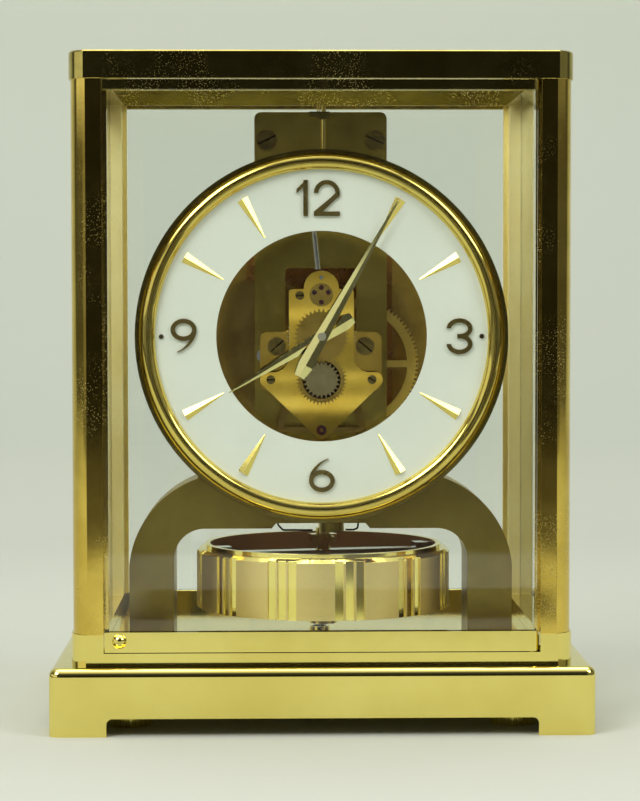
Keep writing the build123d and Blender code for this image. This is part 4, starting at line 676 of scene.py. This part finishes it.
@dataclass
class SubAssembly:
    """A named group of pieces that are built and dressed together."""

    title: str
    finishes: dict[str, Finish]
    eased: dict[str, tuple[str, float]] = field(default_factory=dict)

    def material(self, finish: Finish) -> bpy.types.Material:
        """The material of a finish, made once for all sub-assemblies."""
        if finish not in MATERIALS:
            MATERIALS[finish] = finish.build()
        return MATERIALS[finish]

    def build(self) -> None:
        """Make the eased copies that stand for solids: each in its finish and body."""
        for node, (slot, width) in self.eased.items():
            piece = eased_copy(node, width)
            piece.data.materials.append(self.material(self.finishes.pop(node)))
            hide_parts(node)
            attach(piece, body_of(node))
            LOG.info("%s: %s", self.title, piece.name)

    def dress(self) -> None:
        """Give each node its finish and report it."""
        for name, finish in self.finishes.items():
            slots = frame["nodes"][name].data.materials
            slots.clear()
            slots.append(self.material(finish))
            LOG.info("%s: %s in %s", self.title, name, finish.name)

    def finish(self) -> None:
        """Build and dress."""
        self.build()
        self.dress()


@dataclass
class Plinth(SubAssembly):
    """The base, empty inside, with its two levelling feet."""

    title: str = "plinth"
    finishes: dict[str, Finish] = field(default_factory=lambda: {
        "base_plinth": CASE_BRASS, "levelling_foot_left": CASE_BRASS, "levelling_foot_right": CASE_BRASS})


@dataclass
class CaseFrame(SubAssembly):
    """The block, posts, lid and panes."""

    title: str = "case"
    finishes: dict[str, Finish] = field(default_factory=lambda: {
        "bottom_frame": CASE_BRASS, "floor_plate": CASE_BRASS, "guide_socket": CASE_BRASS,
        "post_front_left": POST_BRASS, "post_front_right": POST_BRASS,
        "post_rear_left": REAR_POST_LIT_BRASS, "post_rear_right": REAR_POST_LIT_BRASS, "lid_frame": LID_SHADED_BRASS,
        "top_glass": PANE, "side_glass_left": PANE, "side_glass_right": PANE})


@dataclass
class RearPanel(SubAssembly):
    """The fixed rear panel, whose upper rail shows only as a strip under the lid."""

    title: str = "rear panel"
    finishes: dict[str, Finish] = field(default_factory=dict)
    strip: float = 0.75 * MM
    low_rail: float = 6.7 * MM
    edge: float = 0.3 * MM
    pane: float = 3.0 * MM

    def build(self) -> None:
        """Make the two rails and the pane, which rises to the strip under the lid."""
        lo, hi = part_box("rear_rails")
        thick = hi.y - lo.y
        middle = (hi.y + lo.y) / 2
        low_top = lo.z + self.low_rail
        low = beam("rear_rail_low", lo.x, hi.x, middle, thick, lo.z, low_top, self.edge)
        top = beam("rear_rail_top", lo.x, hi.x, middle, thick, hi.z - self.strip, hi.z, self.edge / 2)
        rails = joined("rear_panel_rails", [low, top])
        # The upper strip takes the lid's darker copy of the case brass: painted shade.
        metal = SplitFinish("rear_rail_metal", "Z", (low_top + hi.z) / 2, CASE_BRASS, LID_SHADED_BRASS)
        rails.data.materials.append(self.material(metal))
        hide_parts("rear_rails")
        glass_lo, glass_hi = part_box("rear_glass")
        glass = beam("rear_panel_glass", glass_lo.x, glass_hi.x, middle, self.pane,
                     low_top + self.edge / 3, hi.z - self.strip - self.edge / 3, self.edge)
        glass.data.materials.append(self.material(PANE))
        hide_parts("rear_glass")
        for piece, slot in ((rails, "case_brass"), (glass, "glass")):
            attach(piece, "case")
            LOG.info("%s: %s", self.title, piece.name)


@dataclass
class Door(SubAssembly):
    """The front panel on its pivots, with the lock."""

    title: str = "door"
    # The top rail takes the lid's darker copy of the case brass: painted shade.
    finishes: dict[str, Finish] = field(default_factory=lambda: {
        "front_top_rail": LID_SHADED_BRASS, "front_bottom_rail": CASE_BRASS, "front_glass": PANE,
        "lock_knob": CASE_BRASS})


@dataclass
class Legs(SubAssembly):
    """The bell-shaped frame and the two wires in its recess."""

    title: str = "legs"
    finishes: dict[str, Finish] = field(default_factory=lambda: {
        "leg_frame": LEG_BRASS, "wire_levers": BLUED_STEEL})


@dataclass
class Movement(SubAssembly):
    """The plates, the train and its screws and jewels."""

    title: str = "movement"
    front_wheel_back: float = -49.1 * MM
    shade_reach: float = 6.4 * MM

    def __post_init__(self) -> None:
        """Part the front wheel from the wheel behind it, which is painted dark near the axle: painted shade behind
        the front wheel's teeth.
        """
        lo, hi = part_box("motion_wheel")
        # Painted shade: the wheel behind is painted dark within shade_reach of the axle.
        axle = ((lo.x + hi.x) / 2, (lo.z + hi.z) / 2, self.shade_reach)
        front = SplitFinish("motion_metal", "Y", self.front_wheel_back, WHEEL_PALE, WHEEL_GOLD, axle)
        hour = SplitFinish("hour_metal", "Y", self.front_wheel_back, WHEEL_GOLD, WHEEL_GOLD)
        self.finishes.update({"motion_wheel": front, "hour_wheel": hour})

    finishes: dict[str, Finish] = field(default_factory=lambda: {
        "strap_plate": STRAP_BRASS, "back_plate": BACK_BRASS, "plate_pillars": TRAIN_BRASS,
        "barrel": TRAIN_BRASS, "spoked_wheel": SPOKED_GOLD, "lower_wheel": TRAIN_BRASS,
        "front_bridge": BRIDGE_GOLD, "ears_plate": EARS_GOLD, "bridge_pillars": EARS_GOLD,
        "jewel_setting": WHEEL_GOLD, "centre_arbor": ARBOR_PALE, "escape_wheel": WHEEL_GOLD,
        "barrel_arbor": STEEL, "pallet_fork": STEEL, "movement_screws": SCREW_BRASS, "ruby_jewels": RUBY})
    eased: dict[str, tuple[str, float]] = field(default_factory=lambda: {
        "front_bridge": ("movement_brass", 0.22 * MM), "ears_plate": ("movement_brass", 0.22 * MM),
        "movement_screws": ("screw_steel", 0.14 * MM),
        "strap_plate": ("movement_brass", 0.25 * MM)})


@dataclass
class Dial(SubAssembly):
    """The bezel, the white ring, its figures, marks and hands."""

    title: str = "dial"
    finishes: dict[str, Finish] = field(default_factory=lambda: {
        "bezel": BEZEL_BRASS, "dial_ring": DIAL_WHITE, "numerals": BRONZE, "hour_markers": MARKER_GOLD,
        "dial_screws": DARK_SCREW, "dial_pillars": TRAIN_BRASS, "hour_hand": HAND_GOLD,
        "minute_hand": HAND_GOLD})
    eased: dict[str, tuple[str, float]] = field(default_factory=lambda: {
        "minute_hand": ("marker_gold", 0.12 * MM), "hour_hand": ("marker_gold", 0.12 * MM)})


@dataclass
class Balance(SubAssembly):
    """The hanging balance with its arm, hub and wire."""

    title: str = "balance"
    finishes: dict[str, Finish] = field(default_factory=lambda: {
        "balance_arm": STEEL, "balance_hub": BALANCE_GOLD, "torsion_wire": STEEL})
    flute_depth: float = 0.55 * MM
    wall: float = 20.4 * MM
    chamfer: float = 1.2 * MM

    def __post_init__(self) -> None:
        """Place the rim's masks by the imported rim."""
        lo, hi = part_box("balance_rim")
        radius = (hi.x - lo.x) / 2
        centre = ((hi.x + lo.x) / 2, (hi.y + lo.y) / 2)
        self.finishes["balance_rim"] = RimFinish(
            "balance_rim_brass", centre, radius - self.flute_depth / 2, lo.z - MM,
            lo.z + self.wall - self.chamfer)


@dataclass
class Suspension(SubAssembly):
    """The hanger, the wire's tube and the regulator."""

    title: str = "suspension"
    rod_top: float = 190 * MM

    def __post_init__(self) -> None:
        """The leaning rod is steel and the block over it is brass."""
        self.finishes["regulator_guide"] = SplitFinish("guide_metal", "Z", self.rod_top, STEEL, MARKER_GOLD)

    finishes: dict[str, Finish] = field(default_factory=lambda: {
        "suspension_bracket": STRAP_BRASS, "wire_tube": STEEL, "regulator_rod": MARKER_GOLD})


@dataclass
class BellowsDrum(SubAssembly):
    """The drum behind the movement and what works in it."""

    title: str = "bellows"
    finishes: dict[str, Finish] = field(default_factory=lambda: {
        "bellows_drum": TRAIN_BRASS, "bellows_cover": TRAIN_BRASS, "bellows": BELLOWS_BRASS,
        "pressure_plate": BELLOWS_BRASS})


@dataclass
class Studio:
    """Camera, floor, backdrop, lamps and the room that the metal reflects.

    A dark patch is left, right, front and back in metres; glossy rays alone see the paper painted dark there, a
    painted reflection.
    A window is left, right, low and high in degrees, and its level. A lamp is its name, place, target, size and
    power.
    """

    eye: tuple[float, float, float] = (-0.0165668, -0.8248114, 0.1425379)
    yaw: float = 0.0207
    pitch: float = 0.0425
    roll: float = -0.0012
    focal_px: float = 2325.1
    photo_w_px: float = 640.0
    sensor_mm: float = 36.0
    back_y: float = 0.55
    turn_radius: float = 0.35
    floor_half: float = 1.6
    wall_top: float = 2.2
    sheet_half: float = 2.2
    sweep_steps: int = 24
    climb_steps: int = 12
    across_steps: int = 20
    table: Colour = (0.46, 0.475, 0.41)
    wall: Colour = (0.565, 0.60, 0.51)
    wall_shares: tuple[tuple[float, float], ...] = ((0.05, 0.76), (0.18, 0.85), (0.36, 1.0))
    room: Colour = (0.03, 0.027, 0.02)
    table_end: float = -0.60
    # Dark patches that only glossy rays see: a painted reflection.
    dark_reflection_patches: tuple[tuple[float, float, float, float], ...] = (
        (-0.08, 0.12, -0.44, -0.33), (0.17, 0.62, -0.75, -0.29))
    sky: tuple[tuple[float, float], ...] = ((0.0, 0.08), (0.30, 0.10), (0.62, 0.14), (0.75, 0.50), (0.90, 1.0))
    front_share: float = 0.18
    pane_crossings: float = 2.5
    windows: tuple[tuple[float, float, float, float, float], ...] = (
        (-100, -27, 4.6, 20.3, 0.85), (30, 100, 4.6, 20.3, 0.22), (-55, -50, -9, 5, 0.60), (50, 54, -9, 5, 0.40),
        (-70, -14, -9, 4.6, 0.22), (14, 70, -9, 4.6, 0.09))
    bands: tuple[tuple[float, float], ...] = (
        (-0.080, 0.10), (-0.0471, 0.85), (-0.0412, 0.30), (-0.0341, 0.72), (-0.0310, 0.24),
        (-0.0180, 0.34), (-0.0082, 0.78), (-0.0033, 0.34), (0.010, 0.22), (0.030, 0.05))
    band_x: tuple[float, float] = (-0.030, 0.066)
    lamps: tuple[tuple[str, tuple, tuple, tuple, float], ...] = (
        ("key_left", (-0.9, -1.0, 1.25), (0, 0, 0.1), (0.8, 0.8), 18.3),
        ("fill_right", (1.1, -0.8, 1.1), (0, 0, 0.1), (0.7, 0.8), 9.7),
        ("top", (0.0, 0.1, 1.6), (0, 0, 0.0), (1.5, 1.0), 14.0))

    def camera(self) -> bpy.types.Object:
        """Place the camera at the photograph's viewpoint.

        Returns:
            The camera.
        """
        data = bpy.data.cameras.new("view")
        data.sensor_fit = "HORIZONTAL"
        data.sensor_width = self.sensor_mm
        data.lens = self.focal_px / self.photo_w_px * self.sensor_mm
        data.clip_start = 0.01
        data.clip_end = 20.0
        forward = Vector((sin(self.yaw) * cos(self.pitch), cos(self.yaw) * cos(self.pitch), -sin(self.pitch)))
        right = Vector((cos(self.yaw), -sin(self.yaw), 0.0))
        up = right.cross(forward)
        level_right = right * cos(self.roll) + up * sin(self.roll)
        level_up = up * cos(self.roll) - right * sin(self.roll)
        axes = Matrix((level_right, level_up, -forward)).transposed().to_4x4()
        camera = bpy.data.objects.new("view", data)
        camera.matrix_world = Matrix.Translation(self.eye) @ axes
        bpy.context.scene.collection.objects.link(camera)
        bpy.context.scene.camera = camera
        return camera

    def sweep(self) -> bpy.types.Object:
        """A floor that turns up into a backdrop.

        The profile runs level, turns a quarter circle and climbs: y = back + r sin(a)
        and z = r (1 - cos(a)) along the turn.

        Returns:
            The floor.
        """
        level = np.linspace(-self.floor_half, self.back_y, self.sweep_steps)
        turn = np.linspace(0.0, pi / 2, self.sweep_steps)[1:]
        climb = np.linspace(self.turn_radius, self.wall_top, self.climb_steps)[1:]
        wall_y = np.full(len(climb), self.back_y + self.turn_radius)
        y = np.concatenate([level, self.back_y + self.turn_radius * np.sin(turn), wall_y])
        z = np.concatenate([np.zeros(len(level)), self.turn_radius * (1 - np.cos(turn)), climb])
        x = np.linspace(-self.sheet_half, self.sheet_half, self.across_steps)
        grid_x, grid_y = np.meshgrid(x, y)
        grid_z = np.meshgrid(x, z)[1]
        sheet = mesh_from_grid("floor", np.stack([grid_x, grid_y, grid_z], axis=-1))
        sheet.data.materials.append(self.paper())
        return sheet

    def paper(self) -> bpy.types.Material:
        """Pale grey-green paper. Metal sees it end in front, where the dark room starts: glossy rays alone see it
        painted in the room's dark colour beyond the table's end and in the dark patches, a painted reflection.

        Its back lets light through, so a view from behind it still shows the clock.

        Returns:
            The material.
        """
        shader = Shader("pale_paper")
        stops = [(0.0, self.table)]
        for height, share in self.wall_shares:
            stops.append((height, tuple(share * value for value in self.wall)))
        # Painted shade: the wall of the paper is painted darker towards the floor.
        shade = shader.ramp(shader.axis("Z"), stops)
        pale = shader.mix(shader.scaled(shader.noise(60.0, 3.0), 0.0, 0.06), shade, (0.5, 0.5, 0.45))
        x, y = shader.axis("X"), shader.axis("Y")
        far = shader.between(y, -9.0, self.table_end, 0.02)
        for left, right, front, back in self.dark_reflection_patches:
            across, along = shader.between(x, left, right, 0.01), shader.between(y, front, back, 0.008)
            dark_patch = shader.math("MULTIPLY", across, along)
            far = shader.math("MAXIMUM", far, dark_patch)
        # Painted reflection: glossy rays see the room's dark colour beyond the table's end and in the dark patches.
        path = shader.tree.nodes.new("ShaderNodeLightPath")
        reflected_dark = shader.math("MULTIPLY", far, path.outputs["Is Glossy Ray"])
        shader.colour(shader.mix(reflected_dark, pale, self.room))
        shader.set(Roughness=0.9)
        clear = shader.tree.nodes.new("ShaderNodeBsdfTransparent")
        side = shader.tree.nodes.new("ShaderNodeNewGeometry")
        sheet = shader.tree.nodes.new("ShaderNodeMixShader")
        shader.link(side.outputs["Backfacing"], sheet.inputs[0])
        shader.link(shader.body.outputs[0], sheet.inputs[1])
        shader.link(clear.outputs[0], sheet.inputs[2])
        shader.link(sheet.outputs[0], shader.output.inputs[0])
        return shader.material

    def lamp(self, name: str, place: Sequence[float], target: Sequence[float], size: Sequence[float],
             power: float) -> bpy.types.Object:
        """A rectangular soft lamp aimed at a point.

        Args:
            name: the lamp's name.
            place: where it stands.
            target: what it looks at.
            size: width and height in metres.
            power: watts.

        Returns:
            The lamp.
        """
        data = bpy.data.lights.new(name, "AREA")
        data.shape = "RECTANGLE"
        data.size, data.size_y = size
        data.energy = power
        lamp = bpy.data.objects.new(name, data)
        aim = Vector(target) - Vector(place)
        lamp.rotation_euler = aim.to_track_quat("-Z", "Y").to_euler()
        lamp.location = place
        bpy.context.scene.collection.objects.link(lamp)
        return lamp

    def world(self) -> None:
        """The room round the table: pale above, dark in front, with windows at the sides.

        A direction's turn is the arc tangent of x over -y and its rise is the arc sine
        of z. Straight in front, level bands are told apart by z over -y. They show only
        to light that has crossed the front pane twice, so the pane itself doesn't mirror them.
        """
        world = bpy.data.worlds.new("room")
        world.use_nodes = True
        tree = world.node_tree
        tree.nodes.clear()
        out = tree.nodes.new("ShaderNodeOutputWorld")
        back = tree.nodes.new("ShaderNodeBackground")
        back.inputs[0].default_value = (1.0, 1.0, 0.95, 1.0)
        tree.links.new(back.outputs[0], out.inputs[0])
        place = tree.nodes.new("ShaderNodeTexCoord")
        split = tree.nodes.new("ShaderNodeSeparateXYZ")
        tree.links.new(place.outputs["Generated"], split.inputs[0])

        def math(kind: str, *values: object) -> bpy.types.NodeSocket:
            """One step of arithmetic in the world's tree."""
            return arithmetic(tree, kind, *values)

        front = math("MULTIPLY", split.outputs["Y"], -1.0)
        ahead = math("MAXIMUM", front, 0.02)
        turn = math("MULTIPLY", math("ARCTAN2", split.outputs["X"], front), 180 / pi)
        rise = math("MULTIPLY", math("ARCSINE", split.outputs["Z"]), 180 / pi)
        side = tree.nodes.new("ShaderNodeMapRange")
        tree.links.new(front, side.inputs["Value"])
        for name, value in zip(("From Min", "From Max", "To Min", "To Max"), (0.55, 1.0, 1.0, self.front_share)):
            side.inputs[name].default_value = value
        light = math("MULTIPLY", grey_levels(tree, split.outputs["Z"], self.sky, False), side.outputs[0])
        for left, right, low, high, level in self.windows:
            pane = math("MULTIPLY", between(tree, turn, left, right, 1.0), between(tree, rise, low, high, 0.6))
            light = math("MAXIMUM", light, math("MULTIPLY", pane, level))
        slope_x = math("DIVIDE", split.outputs["X"], ahead)
        slope_z = math("DIVIDE", split.outputs["Z"], ahead)
        low, high = self.bands[0][0], self.bands[-1][0]
        facing = math("MULTIPLY", math("GREATER_THAN", front, 0.5), math("MULTIPLY", between(
            tree, slope_x, *self.band_x, 0.006), between(tree, slope_z, low, high, 0.001)))
        path = tree.nodes.new("ShaderNodeLightPath")
        inside = math("GREATER_THAN", path.outputs["Transmission Depth"], self.pane_crossings)
        facing = math("MULTIPLY", facing, inside)
        banded = grey_levels(tree, slope_z, self.bands, True)
        light = math("ADD", math("MULTIPLY", light, math("SUBTRACT", 1.0, facing)), math("MULTIPLY", banded, facing))
        tree.links.new(light, back.inputs[1])
        bpy.context.scene.world = world

    def build(self) -> None:
        """Set up everything that isn't the clock."""
        self.camera()
        self.sweep()
        self.world()
        for lamp in self.lamps:
            self.lamp(*lamp)
        bpy.context.scene.view_settings.view_transform = "Standard"
        LOG.info("studio: camera, floor, room and three lamps")


def mesh_from_grid(name: str, points: np.ndarray, wrap_columns: bool = False,
                   smooth: bool = True) -> bpy.types.Object:
    """Make a mesh of quads from a grid of points.

    Corner (i, j) joins (i, j + 1), (i + 1, j + 1) and (i + 1, j); wrapped columns
    also join the last column to the first.

    Args:
        name: the object's name.
        points: an array of rows, columns and three coordinates.
        wrap_columns: whether each row closes on itself.
        smooth: whether the faces are shaded smooth.

    Returns:
        The object, linked to the scene.
    """
    rows, columns = points.shape[:2]
    index = np.arange(rows * columns).reshape(rows, columns)
    if wrap_columns:
        index = np.hstack([index, index[:, :1]])
    quads = np.stack([index[:-1, :-1], index[:-1, 1:], index[1:, 1:], index[1:, :-1]], axis=-1).reshape(-1, 4)
    mesh = bpy.data.meshes.new(name)
    mesh.vertices.add(rows * columns)
    mesh.vertices.foreach_set("co", points.reshape(-1).astype(np.float32))
    mesh.loops.add(quads.size)
    mesh.loops.foreach_set("vertex_index", quads.reshape(-1).astype(np.int32))
    mesh.polygons.add(len(quads))
    mesh.polygons.foreach_set("loop_start", (np.arange(len(quads)) * 4).astype(np.int32))
    mesh.update(calc_edges=True)
    mesh.polygons.foreach_set("use_smooth", np.full(len(quads), smooth))
    piece = bpy.data.objects.new(name, mesh)
    bpy.context.scene.collection.objects.link(piece)
    return piece


def body_of(node: str) -> str:
    """The name of the body that a CAD node rides on."""
    return next(name for name, nodes in frame["record"]["behaviour"]["bodies"].items() if node in nodes)


def eased_copy(node: str, width: float) -> bpy.types.Object:
    """A merged copy of a CAD node whose sharp edges get a narrow bevel.

    Coplanar triangles are dissolved into flat faces, and every edge that turns by more
    than 50 degrees is cut back by the width in two steps.

    Args:
        node: the CAD node's name.
        width: the bevel's width in metres.

    Returns:
        The copy, without materials.
    """
    mesh = frame["nodes"][node].data.copy()
    mesh.materials.clear()
    work = bmesh.new()
    work.from_mesh(mesh)
    bmesh.ops.remove_doubles(work, verts=work.verts, dist=MERGE_DISTANCE)
    bmesh.ops.dissolve_limit(work, angle_limit=FLAT_ANGLE, verts=work.verts, edges=work.edges)
    bmesh.ops.recalc_face_normals(work, faces=work.faces)
    work.to_mesh(mesh)
    work.free()
    mesh.polygons.foreach_set("use_smooth", np.full(len(mesh.polygons), True))
    mesh.set_sharp_from_angle(angle=SHARP_ANGLE)
    piece = bpy.data.objects.new(node + "_eased", mesh)
    bpy.context.scene.collection.objects.link(piece)
    bevel = piece.modifiers.new("edge", "BEVEL")
    bevel.width = width
    bevel.segments = 2
    bevel.limit_method = "ANGLE"
    bevel.angle_limit = BEVEL_ANGLE
    bevel.harden_normals = True
    return piece


def closed(piece: bpy.types.Object) -> bpy.types.Object:
    """Merge what coincides and turn every face outwards.

    Args:
        piece: a shell with its poles gathered in points.

    Returns:
        The same piece.
    """
    work = bmesh.new()
    work.from_mesh(piece.data)
    bmesh.ops.remove_doubles(work, verts=work.verts, dist=1e-7)
    bmesh.ops.dissolve_degenerate(work, edges=work.edges, dist=1e-7)
    bmesh.ops.recalc_face_normals(work, faces=work.faces)
    work.to_mesh(piece.data)
    work.free()
    return piece


def beam(name: str, x0: float, x1: float, y: float, thick: float, z0: float, z1: float,
         edge: float) -> bpy.types.Object:
    """A level bar with rounded long edges.

    The section is a rectangle of the bar's thickness and height whose corners are
    quarter circles: centre plus edge times (cos a, sin a). It is carried from x0 to
    x1 and drawn to its middle at each end.

    Args:
        name: the object's name.
        x0: left end.
        x1: right end.
        y: middle of the thickness.
        thick: from front to back.
        z0: underside.
        z1: top.
        edge: radius of the long edges.

    Returns:
        The closed bar.
    """
    steps = np.linspace(0.0, pi / 2, 5)
    angles = np.concatenate([steps + quarter * pi / 2 for quarter in range(4)])
    half = np.array([thick / 2 - edge, (z1 - z0) / 2 - edge])
    signs = np.repeat(np.array([[1, 1], [-1, 1], [-1, -1], [1, -1]]), len(steps), axis=0)
    section = signs * half + edge * np.stack([np.cos(angles), np.sin(angles)], axis=-1)
    section = section + np.array([y, (z0 + z1) / 2])
    middle = np.broadcast_to(np.array([y, (z0 + z1) / 2]), section.shape)
    rings = np.stack([middle, section, section, middle])
    x = np.broadcast_to(np.array([x0, x0, x1, x1])[:, None, None], (4, len(section), 1))
    return closed(mesh_from_grid(name, np.concatenate([x, rings], axis=-1), True, False))


def joined(name: str, parts: Sequence[bpy.types.Object]) -> bpy.types.Object:
    """Put several meshes into one object.

    Args:
        name: the new object's name.
        parts: objects that are used up.

    Returns:
        The joined object.
    """
    work = bmesh.new()
    for part in parts:
        work.from_mesh(part.data)
        bpy.data.objects.remove(part)
    mesh = bpy.data.meshes.new(name)
    work.to_mesh(mesh)
    work.free()
    piece = bpy.data.objects.new(name, mesh)
    bpy.context.scene.collection.objects.link(piece)
    return piece


def main() -> None:
    """Build the clock's sub-assemblies in order, then the studio, and report each piece."""
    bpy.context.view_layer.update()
    for part in (Plinth, CaseFrame, RearPanel, Door, Legs, Movement, Dial, Balance, Suspension, BellowsDrum):
        part().finish()
    Studio().build()


if __name__ == "__main__":
    main()
